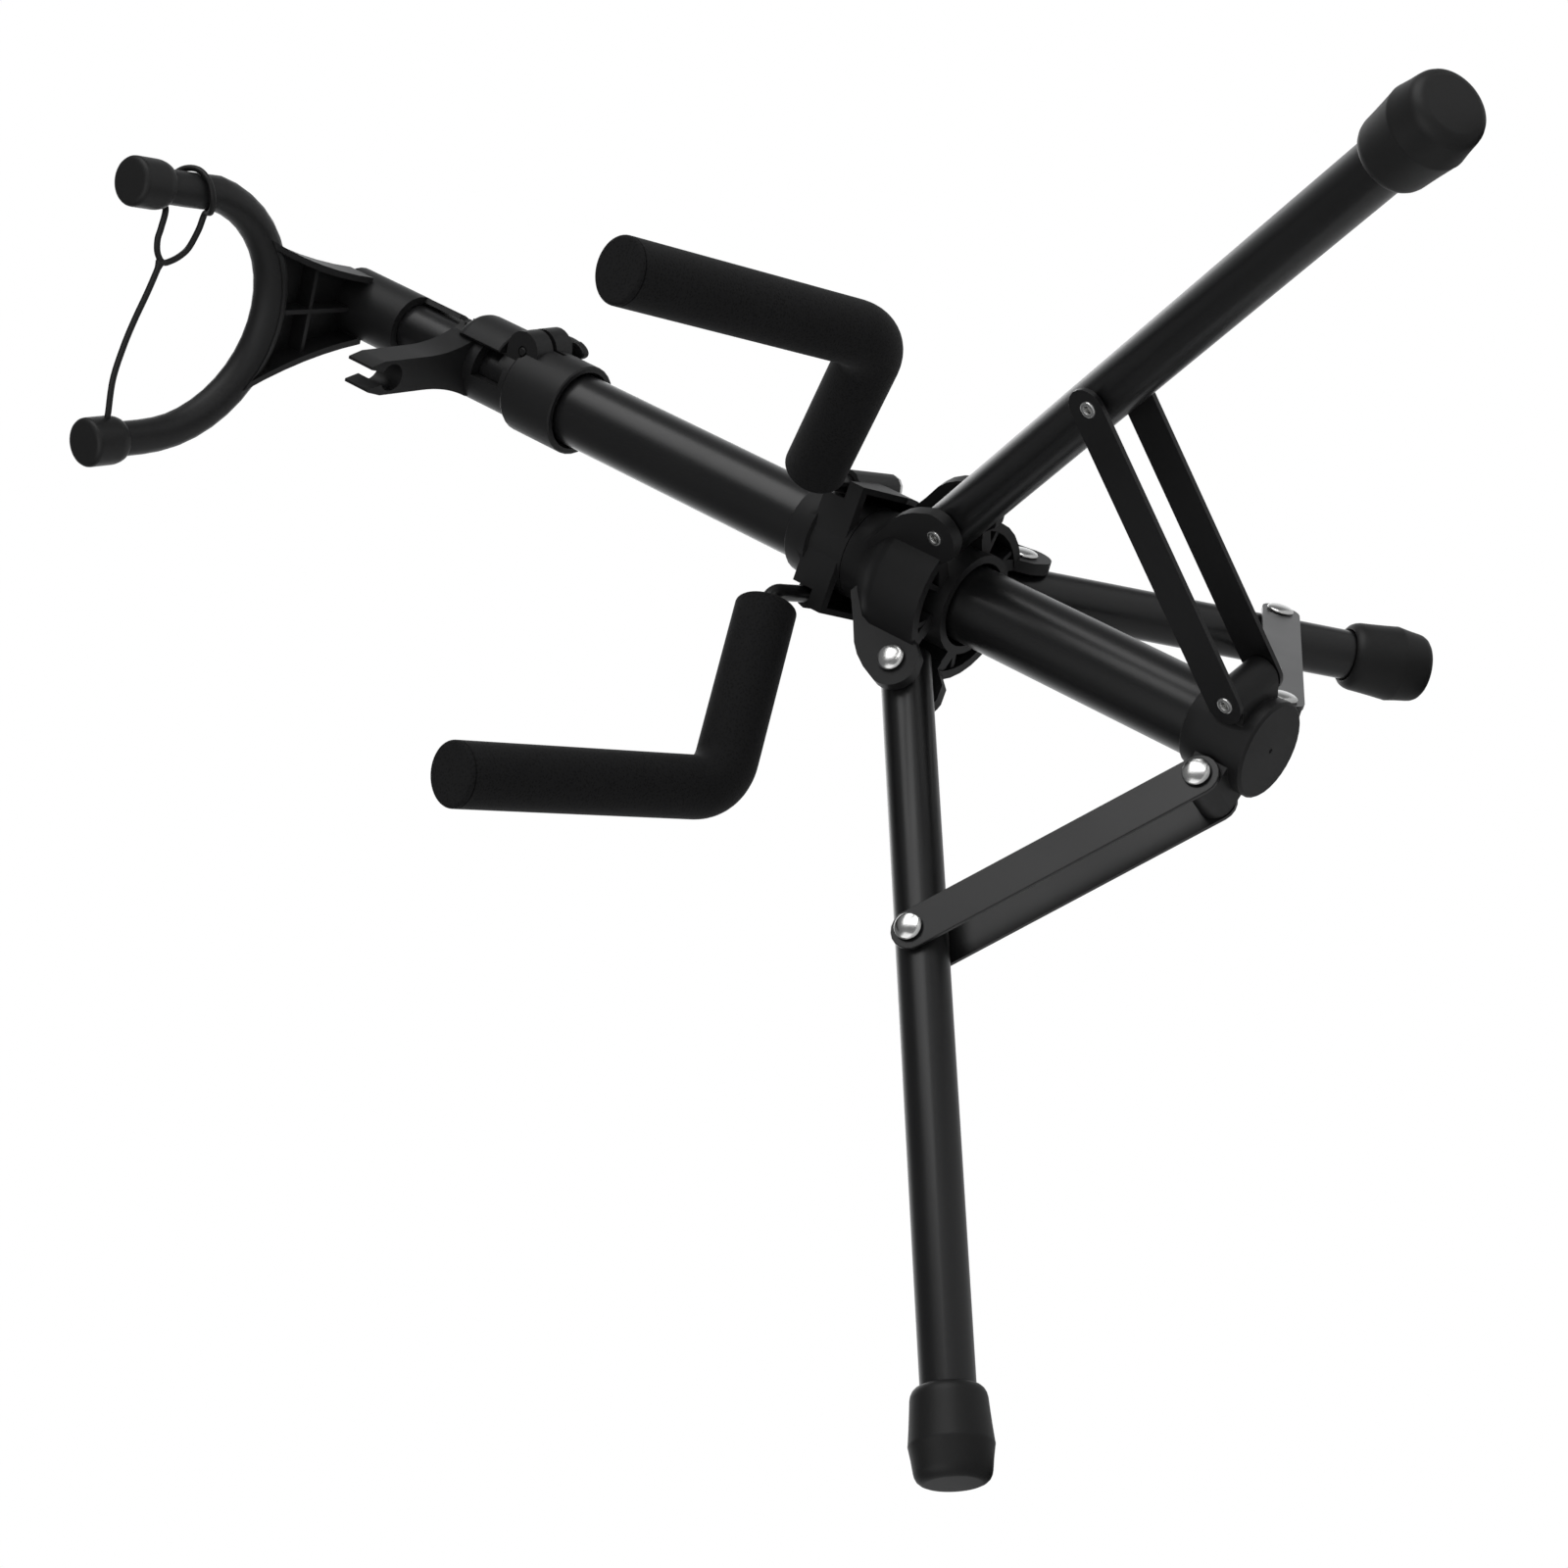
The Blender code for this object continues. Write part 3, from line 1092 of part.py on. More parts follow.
def build_cap(yoke, side, label):
    """A rubber cap pushed on one end of the yoke's bar."""
    bore = YOKE_BAR_RADIUS + GAP
    profile = [
        (0.0, 0.0),
        (CAP_RADIUS - CAP_EDGE, 0.0),
        (CAP_RADIUS - CAP_EDGE * 0.3, -CAP_EDGE * 0.3),
        (CAP_RADIUS, -CAP_EDGE),
        (CAP_RADIUS, CAP_SHOULDER - CAP_LENGTH),
        (CAP_RADIUS - CAP_SHOULDER * 0.35, CAP_SHOULDER * 0.35 - CAP_LENGTH),
        (bore + 0.8 * MM, -CAP_LENGTH),
        (bore, -CAP_LENGTH),
        (bore, -CAP_END_WALL),
        (0.0, -CAP_END_WALL),
    ]
    tip = Vector((side * YOKE_HALF_SPAN, -CAP_TIP_REACH, YOKE_HEIGHT))
    place = Matrix.Translation(tip) @ Matrix.Rotation(math.radians(90.0), 4, "X")
    cap = node(f"yoke_cap_{label}", turned(profile, LEG_SIDES), yoke, black_rubber, place)
    if side < 0:
        start = strap_start()
        mouth = start + Vector((10.0 * MM, 0.0, 0.0))
        hole = wire([start - Vector((GAP, 0.0, 0.0)), mouth], STRAP_RADIUS + GAP, 2)
        cut(cap, hole, place.inverted())


def strap_start():
    """Where the strap's root sits in the left cap's side."""
    x = -YOKE_HALF_SPAN + CAP_RADIUS - STRAP_SEAT
    return Vector((x, -CAP_TIP_REACH + STRAP_BEHIND_TIP, YOKE_HEIGHT))


def build_strap(yoke):
    """The rubber strap: a cord from the left cap that forks into a loop round the right arm."""
    start = strap_start()
    level = YOKE_HEIGHT / MM
    cord = [start, start + Vector((STRAP_SEAT + 1.5 * MM, 0.0, 0.0))]
    for x, y in ((-22.0, -110.7), (-10.6, -108.6), (-1.5, -105.9), (7.5, -102.6), (15.4, -99.6), (19.6, -98.0)):
        cord.append(Vector((x, y, level)) * MM)
    path = [cord[0]] + smooth_path(cord[1:], 3)
    strap = node("neck_strap", wire(path, STRAP_RADIUS, STRAP_SIDES), yoke, black_rubber)
    around = YOKE_BAR_RADIUS + STRAP_RADIUS + LOOP_ROUND
    spread = around / MM
    bar_x = YOKE_HALF_SPAN / MM
    loop = [
        (19.4, -97.9, level),
        (22.4, -91.0, level - 0.4),
        (28.5, -86.6, level - 1.2),
        (bar_x - spread, -83.6, level - 3.4),
        (bar_x - spread * 0.3, -82.9, level - spread),
        (bar_x + spread * 0.65, -84.4, level - spread * 0.72),
        (bar_x + spread, -88.2, level),
        (bar_x + spread * 0.65, -91.0, level + spread * 0.72),
        (bar_x - spread * 0.3, -93.0, level + spread),
        (bar_x - spread, -94.4, level + 4.6),
        (31.2, -97.6, level + 3.2),
        (25.2, -100.8, level + 1.3),
    ]
    points = [Vector(point) * MM for point in loop]
    fuse(strap, wire(smooth_path(points, 3, cyclic=True), STRAP_RADIUS, STRAP_SIDES, cyclic=True))


def stand_on_floor(root):
    """Moves the stand so that its box's bottom centre is at the world's origin."""
    bpy.context.view_layer.update()
    graph = bpy.context.evaluated_depsgraph_get()
    low = Vector((math.inf,) * 3)
    high = -low
    for obj in COLLECTION.objects:
        if obj.type != "MESH":
            continue
        evaluated = obj.evaluated_get(graph)
        mesh = evaluated.to_mesh()
        for vertex in mesh.vertices:
            place = evaluated.matrix_world @ vertex.co
            low = Vector(map(min, low, place))
            high = Vector(map(max, high, place))
        evaluated.to_mesh_clear()
    root.location = (-(low.x + high.x) / 2, -(low.y + high.y) / 2, -low.z)
    bpy.context.view_layer.update()


def main():
    clear_scene()
    legs = three_legs()
    root = empty("mast_frame", None, Matrix.Rotation(-standing_lean(legs), 4, "X"))
    build_mast(root)
    build_base_collar(root, legs)
    for leg in legs:
        build_strut(root, leg)
        build_leg(root, leg)
    hub_axis = empty("hub_axis", root, Matrix.Translation(legs[0].hub_pivot))
    hub = empty("hub_frame", hub_axis, Matrix.Translation(-legs[0].hub_pivot))
    build_hub(hub, legs)
    cradle = empty("cradle_frame", hub, turned_frame(CRADLE_TURN))
    build_bracket(cradle)
    for side, label in ((1, "right"), (-1, "left")):
        build_arm(cradle, side, label)
    build_clamp(empty("clamp_frame", root, turned_frame(CLAMP_TURN)))
    slide = empty("height_slide", root)
    build_height_tube(slide)
    yoke = empty("yoke_frame", slide, turned_frame(YOKE_TURN))
    build_yoke(yoke)
    build_strap(yoke)
    stand_on_floor(root)


main()
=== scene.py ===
"""Dressed model of a folding violin stand.

A leaning mast on three folding legs carries two padded arms, a neck yoke and a bow clip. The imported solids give
every place. Each sub-assembly is a class that models its visible pieces in the mast's own frame, where the mast
runs along +Z from its foot and the arms point along -Y, and then stands them up.
"""

import json
import logging
import math
from collections.abc import Callable
from dataclasses import dataclass, field
from enum import Enum

import bmesh
import bpy
from mathutils import Matrix, Vector


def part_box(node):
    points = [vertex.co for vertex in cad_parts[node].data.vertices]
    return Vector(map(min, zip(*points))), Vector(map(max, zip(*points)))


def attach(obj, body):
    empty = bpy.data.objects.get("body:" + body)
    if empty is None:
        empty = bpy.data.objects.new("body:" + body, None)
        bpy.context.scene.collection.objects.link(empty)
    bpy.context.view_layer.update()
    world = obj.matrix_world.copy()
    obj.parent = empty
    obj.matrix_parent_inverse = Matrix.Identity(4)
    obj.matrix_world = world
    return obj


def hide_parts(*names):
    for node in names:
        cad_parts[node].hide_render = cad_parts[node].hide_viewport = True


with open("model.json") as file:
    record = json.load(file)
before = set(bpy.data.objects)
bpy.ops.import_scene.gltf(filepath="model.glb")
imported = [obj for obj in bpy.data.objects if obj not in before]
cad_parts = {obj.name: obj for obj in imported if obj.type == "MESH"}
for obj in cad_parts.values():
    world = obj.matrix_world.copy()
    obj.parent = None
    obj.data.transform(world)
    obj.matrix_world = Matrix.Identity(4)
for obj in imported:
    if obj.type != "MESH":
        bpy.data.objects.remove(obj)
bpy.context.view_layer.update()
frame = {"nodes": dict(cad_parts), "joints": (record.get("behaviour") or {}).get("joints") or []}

MM = 0.001
LOG = logging.getLogger("violin_stand")


class Body(Enum):
    """The moving bodies that the pieces ride on."""

    MAST = "mast"
    HUB = "hub"
    GUIDE = "guide"
    YOKE = "yoke"
    SCREW = "clamp_screw"
    ARM_RIGHT = "arm_right"
    ARM_LEFT = "arm_left"


class Slot(Enum):
    """The record's material slots."""

    PAINT = "black_paint"
    PLASTIC = "black_plastic"
    RUBBER = "black_rubber"
    FOAM = "black_foam"
    ZINC = "zinc"


@dataclass(frozen=True)
class Finish:
    """One surface finish: its base values, its fine relief and how its colour and gloss vary."""

    name: str
    slot: Slot
    colour: tuple[float, float, float]
    roughness: float
    metallic: float = 0.0
    specular: float = 0.5
    grain_size: float = 0.4 * MM
    grain_depth: float = 0.01 * MM
    cloud_size: float = 25 * MM
    colour_spread: float = 0.12
    gloss_spread: float = 0.05
    # pores: how much painted shade darkens the foam's pits; nought leaves the pits out
    pores: float = 0.0
    pore_size: float = 1.6
    pore_relief: float = 1.4
    brushed: float = 0.0
    brush_stretch: float = 0.6
    sheen: float = 0.0
    sheen_roughness: float = 0.5
    coat: float = 0.0
    coat_roughness: float = 0.22


PAINTED_STEEL = Finish(
    "painted_steel", Slot.PAINT, (0.0062, 0.0062, 0.0066), 0.34, grain_size=1.1 * MM, grain_depth=0.003 * MM,
    colour_spread=0.1, gloss_spread=0.05, coat=0.15,
)
MOULDED_PLASTIC = Finish(
    "moulded_plastic", Slot.PLASTIC, (0.0078, 0.0078, 0.0082), 0.5, grain_size=0.35 * MM,
    grain_depth=0.006 * MM, colour_spread=0.14, gloss_spread=0.07, specular=0.42,
)
FOOT_RUBBER = Finish(
    "foot_rubber", Slot.RUBBER, (0.0085, 0.0085, 0.0086), 0.5, grain_size=0.6 * MM, grain_depth=0.008 * MM,
    colour_spread=0.2, gloss_spread=0.08, specular=0.4,
)
STRAP_RUBBER = Finish(
    "strap_rubber", Slot.RUBBER, (0.0075, 0.0075, 0.0076), 0.46, grain_size=0.4 * MM, grain_depth=0.005 * MM,
    colour_spread=0.15, gloss_spread=0.06, specular=0.4,
)
# The foam's pits get painted shade: pores=0.7 takes 70 per cent of the colour away inside them.
SLEEVE_FOAM = Finish(
    "sleeve_foam", Slot.FOAM, (0.0085, 0.0085, 0.009), 0.8, grain_size=0.55 * MM, grain_depth=0.04 * MM,
    colour_spread=0.3, gloss_spread=0.06, pores=0.7, sheen=0.05, specular=0.15,
)
ZINC_PLATE = Finish(
    "zinc_plate", Slot.ZINC, (0.8, 0.8, 0.79), 0.24, metallic=1.0, grain_size=0.35 * MM,
    grain_depth=0.004 * MM, colour_spread=0.08, gloss_spread=0.1, brushed=0.5,
)


def feed(tree: bpy.types.NodeTree, node: bpy.types.Node, inputs: dict[str | int, object]) -> None:
    """Sets a node's inputs.

    Args:
        tree: The node's tree.
        node: The node.
        inputs: For each input, by its name or number, the socket that feeds it or its plain value.
    """
    for title, given in inputs.items():
        if isinstance(given, bpy.types.NodeSocket):
            tree.links.new(given, node.inputs[title])
        else:
            node.inputs[title].default_value = given


def add_node(tree: bpy.types.NodeTree, kind: str, inputs: dict[str | int, object]) -> bpy.types.Node:
    """Adds one shader node.

    Args:
        tree: The tree that it goes into.
        kind: Its type, without the words that every shader node's type starts with.
        inputs: Its inputs, as for feed.

    Returns:
        The new node.
    """
    node = tree.nodes.new(f"ShaderNode{kind}")
    feed(tree, node, inputs)
    return node


def add_group(
    tree: bpy.types.NodeTree, group: bpy.types.NodeTree, inputs: dict[str | int, object]
) -> bpy.types.bpy_prop_collection:
    """Places a shared group in a material.

    Args:
        tree: The material's nodes.
        group: The group to place.
        inputs: Its inputs, as for feed.

    Returns:
        Its outputs.
    """
    node = tree.nodes.new("ShaderNodeGroup")
    node.node_tree = group
    feed(tree, node, inputs)
    return node.outputs


def calculate(tree: bpy.types.NodeTree, operation: str, *values: object) -> bpy.types.NodeSocket:
    """Adds one Math node.

    Args:
        tree: The tree that it goes into.
        operation: What it does.
        values: Its numbers, or the sockets that feed them.

    Returns:
        The socket of its result.
    """
    node = tree.nodes.new("ShaderNodeMath")
    node.operation = operation
    feed(tree, node, dict(enumerate(values)))
    return node.outputs["Value"]


class GroupShop:
    """Builds the shader node groups that the finishes share, each once."""

    fine_share: float = 0.35
    pit_floor: float = 0.08
    pit_rim: float = 0.55
    patch_scale: float = 220.0

    def __init__(self) -> None:
        """Builds the three groups."""
        self.relief = self._relief()
        self.mottle = self._mottle()
        self.pores = self._pores()

    @staticmethod
    def _new(name: str, inputs: dict[str, str], outputs: dict[str, str]) -> bpy.types.NodeTree:
        """Makes an empty group with named sockets.

        Args:
            name: The group's name.
            inputs: Each input's name and the kind of its value.
            outputs: Each output's name and the kind of its value.

        Returns:
            The group's node tree.
        """
        tree = bpy.data.node_groups.new(name, "ShaderNodeTree")
        for side, sockets in (("INPUT", inputs), ("OUTPUT", outputs)):
            for title, kind in sockets.items():
                tree.interface.new_socket(title, in_out=side, socket_type=f"NodeSocket{kind}")
        tree.nodes.new("NodeGroupInput").name = "Given"
        tree.nodes.new("NodeGroupOutput").name = "Result"
        return tree

    def _relief(self) -> bpy.types.NodeTree:
        """A fine moulded or sprayed grain as a height."""
        tree = self._new("fine_grain_relief", {"Vector": "Vector", "Scale": "Float"}, {"Height": "Float"})
        given = tree.nodes["Given"].outputs
        spread = {"Vector": given["Vector"], "Scale": given["Scale"]}
        coarse = add_node(tree, "TexNoise", {**spread, "Detail": 3.0, "Roughness": 0.65})
        fine = tree.nodes.new("ShaderNodeTexVoronoi")
        fine.feature = "SMOOTH_F1"
        feed(tree, fine, spread)
        height = calculate(
            tree, "MULTIPLY_ADD", fine.outputs["Distance"], self.fine_share, coarse.outputs["Fac"]
        )
        feed(tree, tree.nodes["Result"], {"Height": height})
        return tree

    def _mottle(self) -> bpy.types.NodeTree:
        """Slow clouds that vary a colour and a roughness."""
        tree = self._new(
            "soft_mottle",
            {
                "Vector": "Vector",
                "Scale": "Float",
                "Colour": "Color",
                "Colour Spread": "Float",
                "Roughness": "Float",
                "Gloss Spread": "Float",
            },
            {"Colour": "Color", "Roughness": "Float"},
        )
        given = tree.nodes["Given"].outputs
        clouds = add_node(
            tree, "TexNoise", {"Vector": given["Vector"], "Scale": given["Scale"], "Detail": 4.0}
        )
        centred = calculate(tree, "SUBTRACT", clouds.outputs["Fac"], 0.5)
        shade = calculate(tree, "MULTIPLY_ADD", centred, given["Colour Spread"], 1.0)
        rough = calculate(tree, "MULTIPLY_ADD", centred, given["Gloss Spread"], given["Roughness"])
        tint = tree.nodes.new("ShaderNodeVectorMath")
        tint.operation = "SCALE"
        feed(tree, tint, {0: given["Colour"], "Scale": shade})
        feed(tree, tree.nodes["Result"], {"Colour": tint.outputs["Vector"], "Roughness": rough})
        return tree

    def _pores(self) -> bpy.types.NodeTree:
        """The open cells of a foam skin, as a mask for the painted shade in their pits and a height."""
        tree = self._new(
            "foam_cells", {"Vector": "Vector", "Scale": "Float"}, {"Mask": "Float", "Height": "Float"}
        )
        given = tree.nodes["Given"].outputs
        spread = {"Vector": given["Vector"], "Scale": given["Scale"], "Randomness": 1.0}
        cells = add_node(tree, "TexVoronoi", spread)
        pits = tree.nodes.new("ShaderNodeMapRange")
        pits.interpolation_type = "SMOOTHSTEP"
        feed(
            tree,
            pits,
            {"Value": cells.outputs["Distance"], "From Min": self.pit_floor, "From Max": self.pit_rim},
        )
        mask = pits.outputs["Result"]
        patches = add_node(tree, "TexNoise", {"Vector": given["Vector"], "Scale": self.patch_scale})
        depth = calculate(tree, "MULTIPLY", mask, patches.outputs["Fac"])
        feed(tree, tree.nodes["Result"], {"Mask": mask, "Height": depth})
        return tree


class PaintShop:
    """Makes the materials from the finishes, each once, and puts them on pieces."""

    def __init__(self) -> None:
        """Builds the shared groups."""
        self.groups = GroupShop()
        self.made: dict[str, bpy.types.Material] = {}

    def material(self, finish: Finish) -> bpy.types.Material:
        """The material of a finish.

        Args:
            finish: The finish to make, or to find again.

        Returns:
            The material, which all pieces of the finish share.
        """
        if finish.name not in self.made:
            self.made[finish.name] = self._make(finish)
        return self.made[finish.name]

    def dress(self, piece: bpy.types.Object, finish: Finish) -> None:
        """Puts the finish on the piece.

        Args:
            piece: The piece to dress.
            finish: Its finish.
        """
        piece.data.materials.clear()
        piece.data.materials.append(self.material(finish))

    def _make(self, finish: Finish) -> bpy.types.Material:
        """Builds one material's nodes.

        Args:
            finish: The finish to build.

        Returns:
            The new material.
        """
        material = bpy.data.materials.new(finish.name)
        material.use_nodes = True
        tree = material.node_tree
        place = add_node(tree, "TexCoord", {})
        stretch = (1.0, 1.0, 1.0 - finish.brush_stretch * finish.brushed)
        spot = add_node(tree, "Mapping", {"Vector": place.outputs["Object"], "Scale": stretch})
        vector = spot.outputs["Vector"]
        mottle = add_group(
            tree,
            self.groups.mottle,
            {
                "Vector": vector,
                "Scale": 1.0 / finish.cloud_size,
                "Colour": (*finish.colour, 1.0),
                "Colour Spread": finish.colour_spread * 2,
                "Roughness": finish.roughness,
                "Gloss Spread": finish.gloss_spread * 2,
            },
        )
        relief = add_group(
            tree, self.groups.relief, {"Vector": vector, "Scale": 1.0 / finish.grain_size}
        )
        colour, height = mottle["Colour"], relief["Height"]
        # Only the foam has pits, with painted shade put into them.
        if finish.pores:
            colour, height = self._add_pores(tree, finish, vector, colour, height)
        bump = add_node(
            tree, "Bump", {"Height": height, "Distance": finish.grain_depth, "Strength": 1.0}
        )
        feed(
            tree,
            tree.nodes["Principled BSDF"],
            {
                "Base Color": colour,
                "Roughness": mottle["Roughness"],
                "Normal": bump.outputs["Normal"],
                "Metallic": finish.metallic,
                "Specular IOR Level": finish.specular,
                "Sheen Weight": finish.sheen,
                "Sheen Roughness": finish.sheen_roughness,
                "Coat Weight": finish.coat,
                "Coat Roughness": finish.coat_roughness,
            },
        )
        return material

    def _add_pores(
        self,
        tree: bpy.types.NodeTree,
        finish: Finish,
        vector: bpy.types.NodeSocket,
        colour: bpy.types.NodeSocket,
        height: bpy.types.NodeSocket,
    ) -> tuple[bpy.types.NodeSocket, bpy.types.NodeSocket]:
        """Adds the foam's open cells to a material, with painted shade in their pits.

        Args:
            tree: The material's nodes.
            finish: The finish, for the size of its cells and how dark their painted shade is.
            vector: The texture's coordinates.
            colour: The colour before the cells.
            height: The relief before the cells.

        Returns:
            The colour with painted shade in the cells' pits, and the relief with their pits.
        """
        scale = 1.0 / (finish.grain_size * finish.pore_size)
        cells = add_group(tree, self.groups.pores, {"Vector": vector, "Scale": scale})
        raised = calculate(tree, "MULTIPLY_ADD", cells["Height"], finish.pore_relief, height)
        # Painted shade: the colour goes darker inside the cells' pits.
        shadow = tree.nodes.new("ShaderNodeMix")
        shadow.data_type = "RGBA"
        painted_pit_shade = (*(part * (1.0 - finish.pores) for part in finish.colour), 1.0)
        feed(tree, shadow, {"Factor": cells["Mask"], "A": painted_pit_shade, "B": colour})
        return shadow.outputs["Result"], raised


class Workbench:
    """The modelling steps that the sub-assemblies share. Every piece is made in the mast's frame."""

    merge_reach: float = 0.001 * MM
    facet_reach: float = 0.002 * MM
    facet_angle: float = math.radians(0.6)

    def __init__(self) -> None:
        """Finds the mast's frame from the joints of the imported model."""
        self.joints = {joint["name"]: joint for joint in frame["joints"]}
        up = self.joint_axis("yoke_turn")
        across = Vector((1.0, 0.0, 0.0))
        ahead = up.cross(across).normalized()
        self.stand = Matrix((across, ahead, up)).transposed().to_4x4()
        self.stand.translation = self.joint_place("yoke_turn")
        self.shop = PaintShop()
        self.count = 0

    def joint_axis(self, name: str) -> Vector:
        """The direction of a packed joint's axis."""
        return Vector(self.joints[name]["axis"]).normalized()

    def joint_place(self, name: str) -> Vector:
        """The point that a packed joint turns about."""
        return Vector(self.joints[name]["pos_m"])

    @staticmethod
    def clear_selection() -> None:
        """Leaves nothing selected, in object mode."""
        if bpy.context.object and bpy.context.object.mode != "OBJECT":
            bpy.ops.object.mode_set(mode="OBJECT")
        bpy.ops.object.select_all(action="DESELECT")

    def take(self, piece: bpy.types.Object) -> None:
        """Selects one piece alone and makes it active."""
        self.clear_selection()
        piece.select_set(True)
        bpy.context.view_layer.objects.active = piece

    def close_up(self) -> None:
        """Merges the edited mesh's doubled points, turns its faces outwards and leaves edit mode."""
        bpy.ops.mesh.select_all(action="SELECT")
        bpy.ops.mesh.remove_doubles(threshold=self.merge_reach)
        bpy.ops.mesh.normals_make_consistent(inside=False)
        bpy.ops.object.mode_set(mode="OBJECT")

    def lathe(
        self, name: str, profile: list[tuple[float, float]], sides: int, ring: bool = False
    ) -> bpy.types.Object:
        """Turns a shape about Z: a circle extruded and resized from one profile point to the next.

        Args:
            name: The piece's name.
            profile: (radius, height) points in metres. The ends are closed flat unless it is a ring.
            sides: The number of sides.
            ring: True joins the last point to the first, for a tube's wall.

        Returns:
            The piece, still in the mast's frame.
        """
        self.clear_selection()
        radius, height = profile[0]
        bpy.ops.mesh.primitive_circle_add(
            vertices=sides, radius=radius, fill_type="NOTHING", location=(0.0, 0.0, height)
        )
        piece = bpy.context.object
        piece.name = name
        bpy.ops.object.transform_apply(location=True, rotation=True, scale=True)
        bpy.ops.object.mode_set(mode="EDIT")
        bpy.ops.mesh.select_all(action="SELECT")
        if not ring:
            bpy.ops.mesh.edge_face_add()
        points = profile[1:] + ([profile[0]] if ring else [])
        for next_radius, next_height in points:
            rise = {"value": (0.0, 0.0, next_height - height)}
            bpy.ops.mesh.extrude_region_move(TRANSFORM_OT_translate=rise)
            share = next_radius / radius
            bpy.ops.transform.resize(value=(share, share, 1.0), center_override=(0.0, 0.0, next_height))
            radius, height = next_radius, next_height
        self.close_up()
        return piece

    def sweep(
        self,
        name: str,
        path: list[Vector],
        radius: float,
        sides: int,
        tapers: list[float] | None = None,
        cyclic: bool = False,
    ) -> bpy.types.Object:
        """Sweeps a round section along a path and makes it a mesh.

        Args:
            name: The piece's name.
            path: The path's points, in metres.
            radius: The section's radius.
            sides: The section's number of sides, a multiple of four.
            tapers: Each point's share of the radius.
            cyclic: True closes the path.

        Returns:
            The piece, still in the mast's frame.
        """
        self.clear_selection()
        bpy.ops.curve.primitive_nurbs_path_add()
        piece = bpy.context.object
        piece.name = name
        curve = piece.data
        curve.splines.clear()
        curve.bevel_depth = radius
        curve.bevel_resolution = sides // 2 - 2
        curve.use_fill_caps = not cyclic
        spline = curve.splines.new("POLY")
        spline.points.add(len(path) - 1)
        for index, place in enumerate(path):
            spline.points[index].co = (*place, 1.0)
            spline.points[index].radius = tapers[index] if tapers else 1.0
        spline.use_cyclic_u = cyclic
        self.take(piece)
        bpy.ops.object.convert(target="MESH")
        piece = bpy.context.object
        bpy.ops.object.mode_set(mode="EDIT")
        self.close_up()
        return piece

    def copy_of(self, node: str, name: str) -> bpy.types.Object:
        """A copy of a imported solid, with its facets joined to whole faces.

        Args:
            node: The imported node.
            name: The piece's name.

        Returns:
            The copy, already in the world's frame.
        """
        piece = bpy.data.objects.new(name, frame["nodes"][node].data.copy())
        bpy.context.scene.collection.objects.link(piece)
        self.take(piece)
        if piece.data.has_custom_normals:
            bpy.ops.mesh.customdata_custom_splitnormals_clear()
        bpy.ops.object.mode_set(mode="EDIT")
        bpy.ops.mesh.select_all(action="SELECT")
        bpy.ops.mesh.remove_doubles(threshold=self.facet_reach)
        bpy.ops.mesh.dissolve_limited(angle_limit=self.facet_angle)
        bpy.ops.object.mode_set(mode="OBJECT")
        return piece

    def bevel(self, piece: bpy.types.Object, width: float, angle: float, segments: int = 2) -> None:
        """Rounds the piece's sharp edges and applies the result.

        Args:
            piece: The piece.
            width: The bevel's width.
            angle: Only edges sharper than this, in degrees, are rounded.
            segments: The bevel's number of segments.
        """
        self.take(piece)
        edge = piece.modifiers.new("Edges", "BEVEL")
        edge.width = width
        edge.segments = segments
        edge.limit_method = "ANGLE"
        edge.angle_limit = math.radians(angle)
        edge.harden_normals = False
        edge.use_clamp_overlap = True
        bpy.ops.object.modifier_apply(modifier=edge.name)

    def cut(self, piece: bpy.types.Object, cutter: bpy.types.Object) -> None:
        """Cuts one shape out of a piece, and removes the cutter.

        Args:
            piece: The piece.
            cutter: The shape to cut out, in the same frame.
        """
        self.take(piece)
        saw = piece.modifiers.new("Saw", "BOOLEAN")
        saw.operation = "DIFFERENCE"
        saw.solver = "EXACT"
        saw.object = cutter
        bpy.ops.object.modifier_apply(modifier=saw.name)
        bpy.data.objects.remove(cutter, do_unlink=True)

    def join(self, piece: bpy.types.Object, other: bpy.types.Object) -> None:
        """Joins a second shape into a piece."""
        self.take(piece)
        other.select_set(True)
        bpy.ops.object.join()

    def pick(self, piece: bpy.types.Object, inside: Callable[[Vector], bool]) -> None:
        """Enters edit mode with only the chosen points selected.

        Args:
            piece: The piece.
            inside: Says of a point's place whether it is chosen.
        """
        self.take(piece)
        bpy.ops.object.mode_set(mode="EDIT")
        bpy.ops.mesh.select_mode(type="VERT")
        bpy.ops.mesh.select_all(action="DESELECT")
        mesh = bmesh.from_edit_mesh(piece.data)
        for vertex in mesh.verts:
            vertex.select = inside(vertex.co)
        mesh.select_flush_mode()
        bmesh.update_edit_mesh(piece.data)

    def place(self, piece: bpy.types.Object, matrix: Matrix) -> None:
        """Moves a piece by a matrix in its own mesh, and leaves its object at the origin.

        Args:
            piece: The piece.
            matrix: Where it goes.
        """
        self.take(piece)
        piece.matrix_world = matrix
        bpy.ops.object.transform_apply(location=True, rotation=True, scale=True)

    def hand_over(
        self, piece: bpy.types.Object, finish: Finish, body: Body | str, *nodes: str, smooth: float = 32.0
    ) -> None:
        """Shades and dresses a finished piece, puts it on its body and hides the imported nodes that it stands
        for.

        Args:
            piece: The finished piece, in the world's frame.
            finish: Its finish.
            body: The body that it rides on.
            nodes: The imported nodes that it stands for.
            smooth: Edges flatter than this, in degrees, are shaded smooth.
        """
        self.take(piece)
        bpy.ops.object.shade_smooth_by_angle(angle=math.radians(smooth))
        weigh = piece.modifiers.new("Weigh", "WEIGHTED_NORMAL")
        weigh.keep_sharp = True
        bpy.ops.object.modifier_apply(modifier=weigh.name)
        self.shop.dress(piece, finish)
        name = body.value if isinstance(body, Body) else body
        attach(piece, name)
        if nodes:
            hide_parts(*nodes)
        self.count += 1
        LOG.info("%s rides on %s with %d faces", piece.name, name, len(piece.data.polygons))


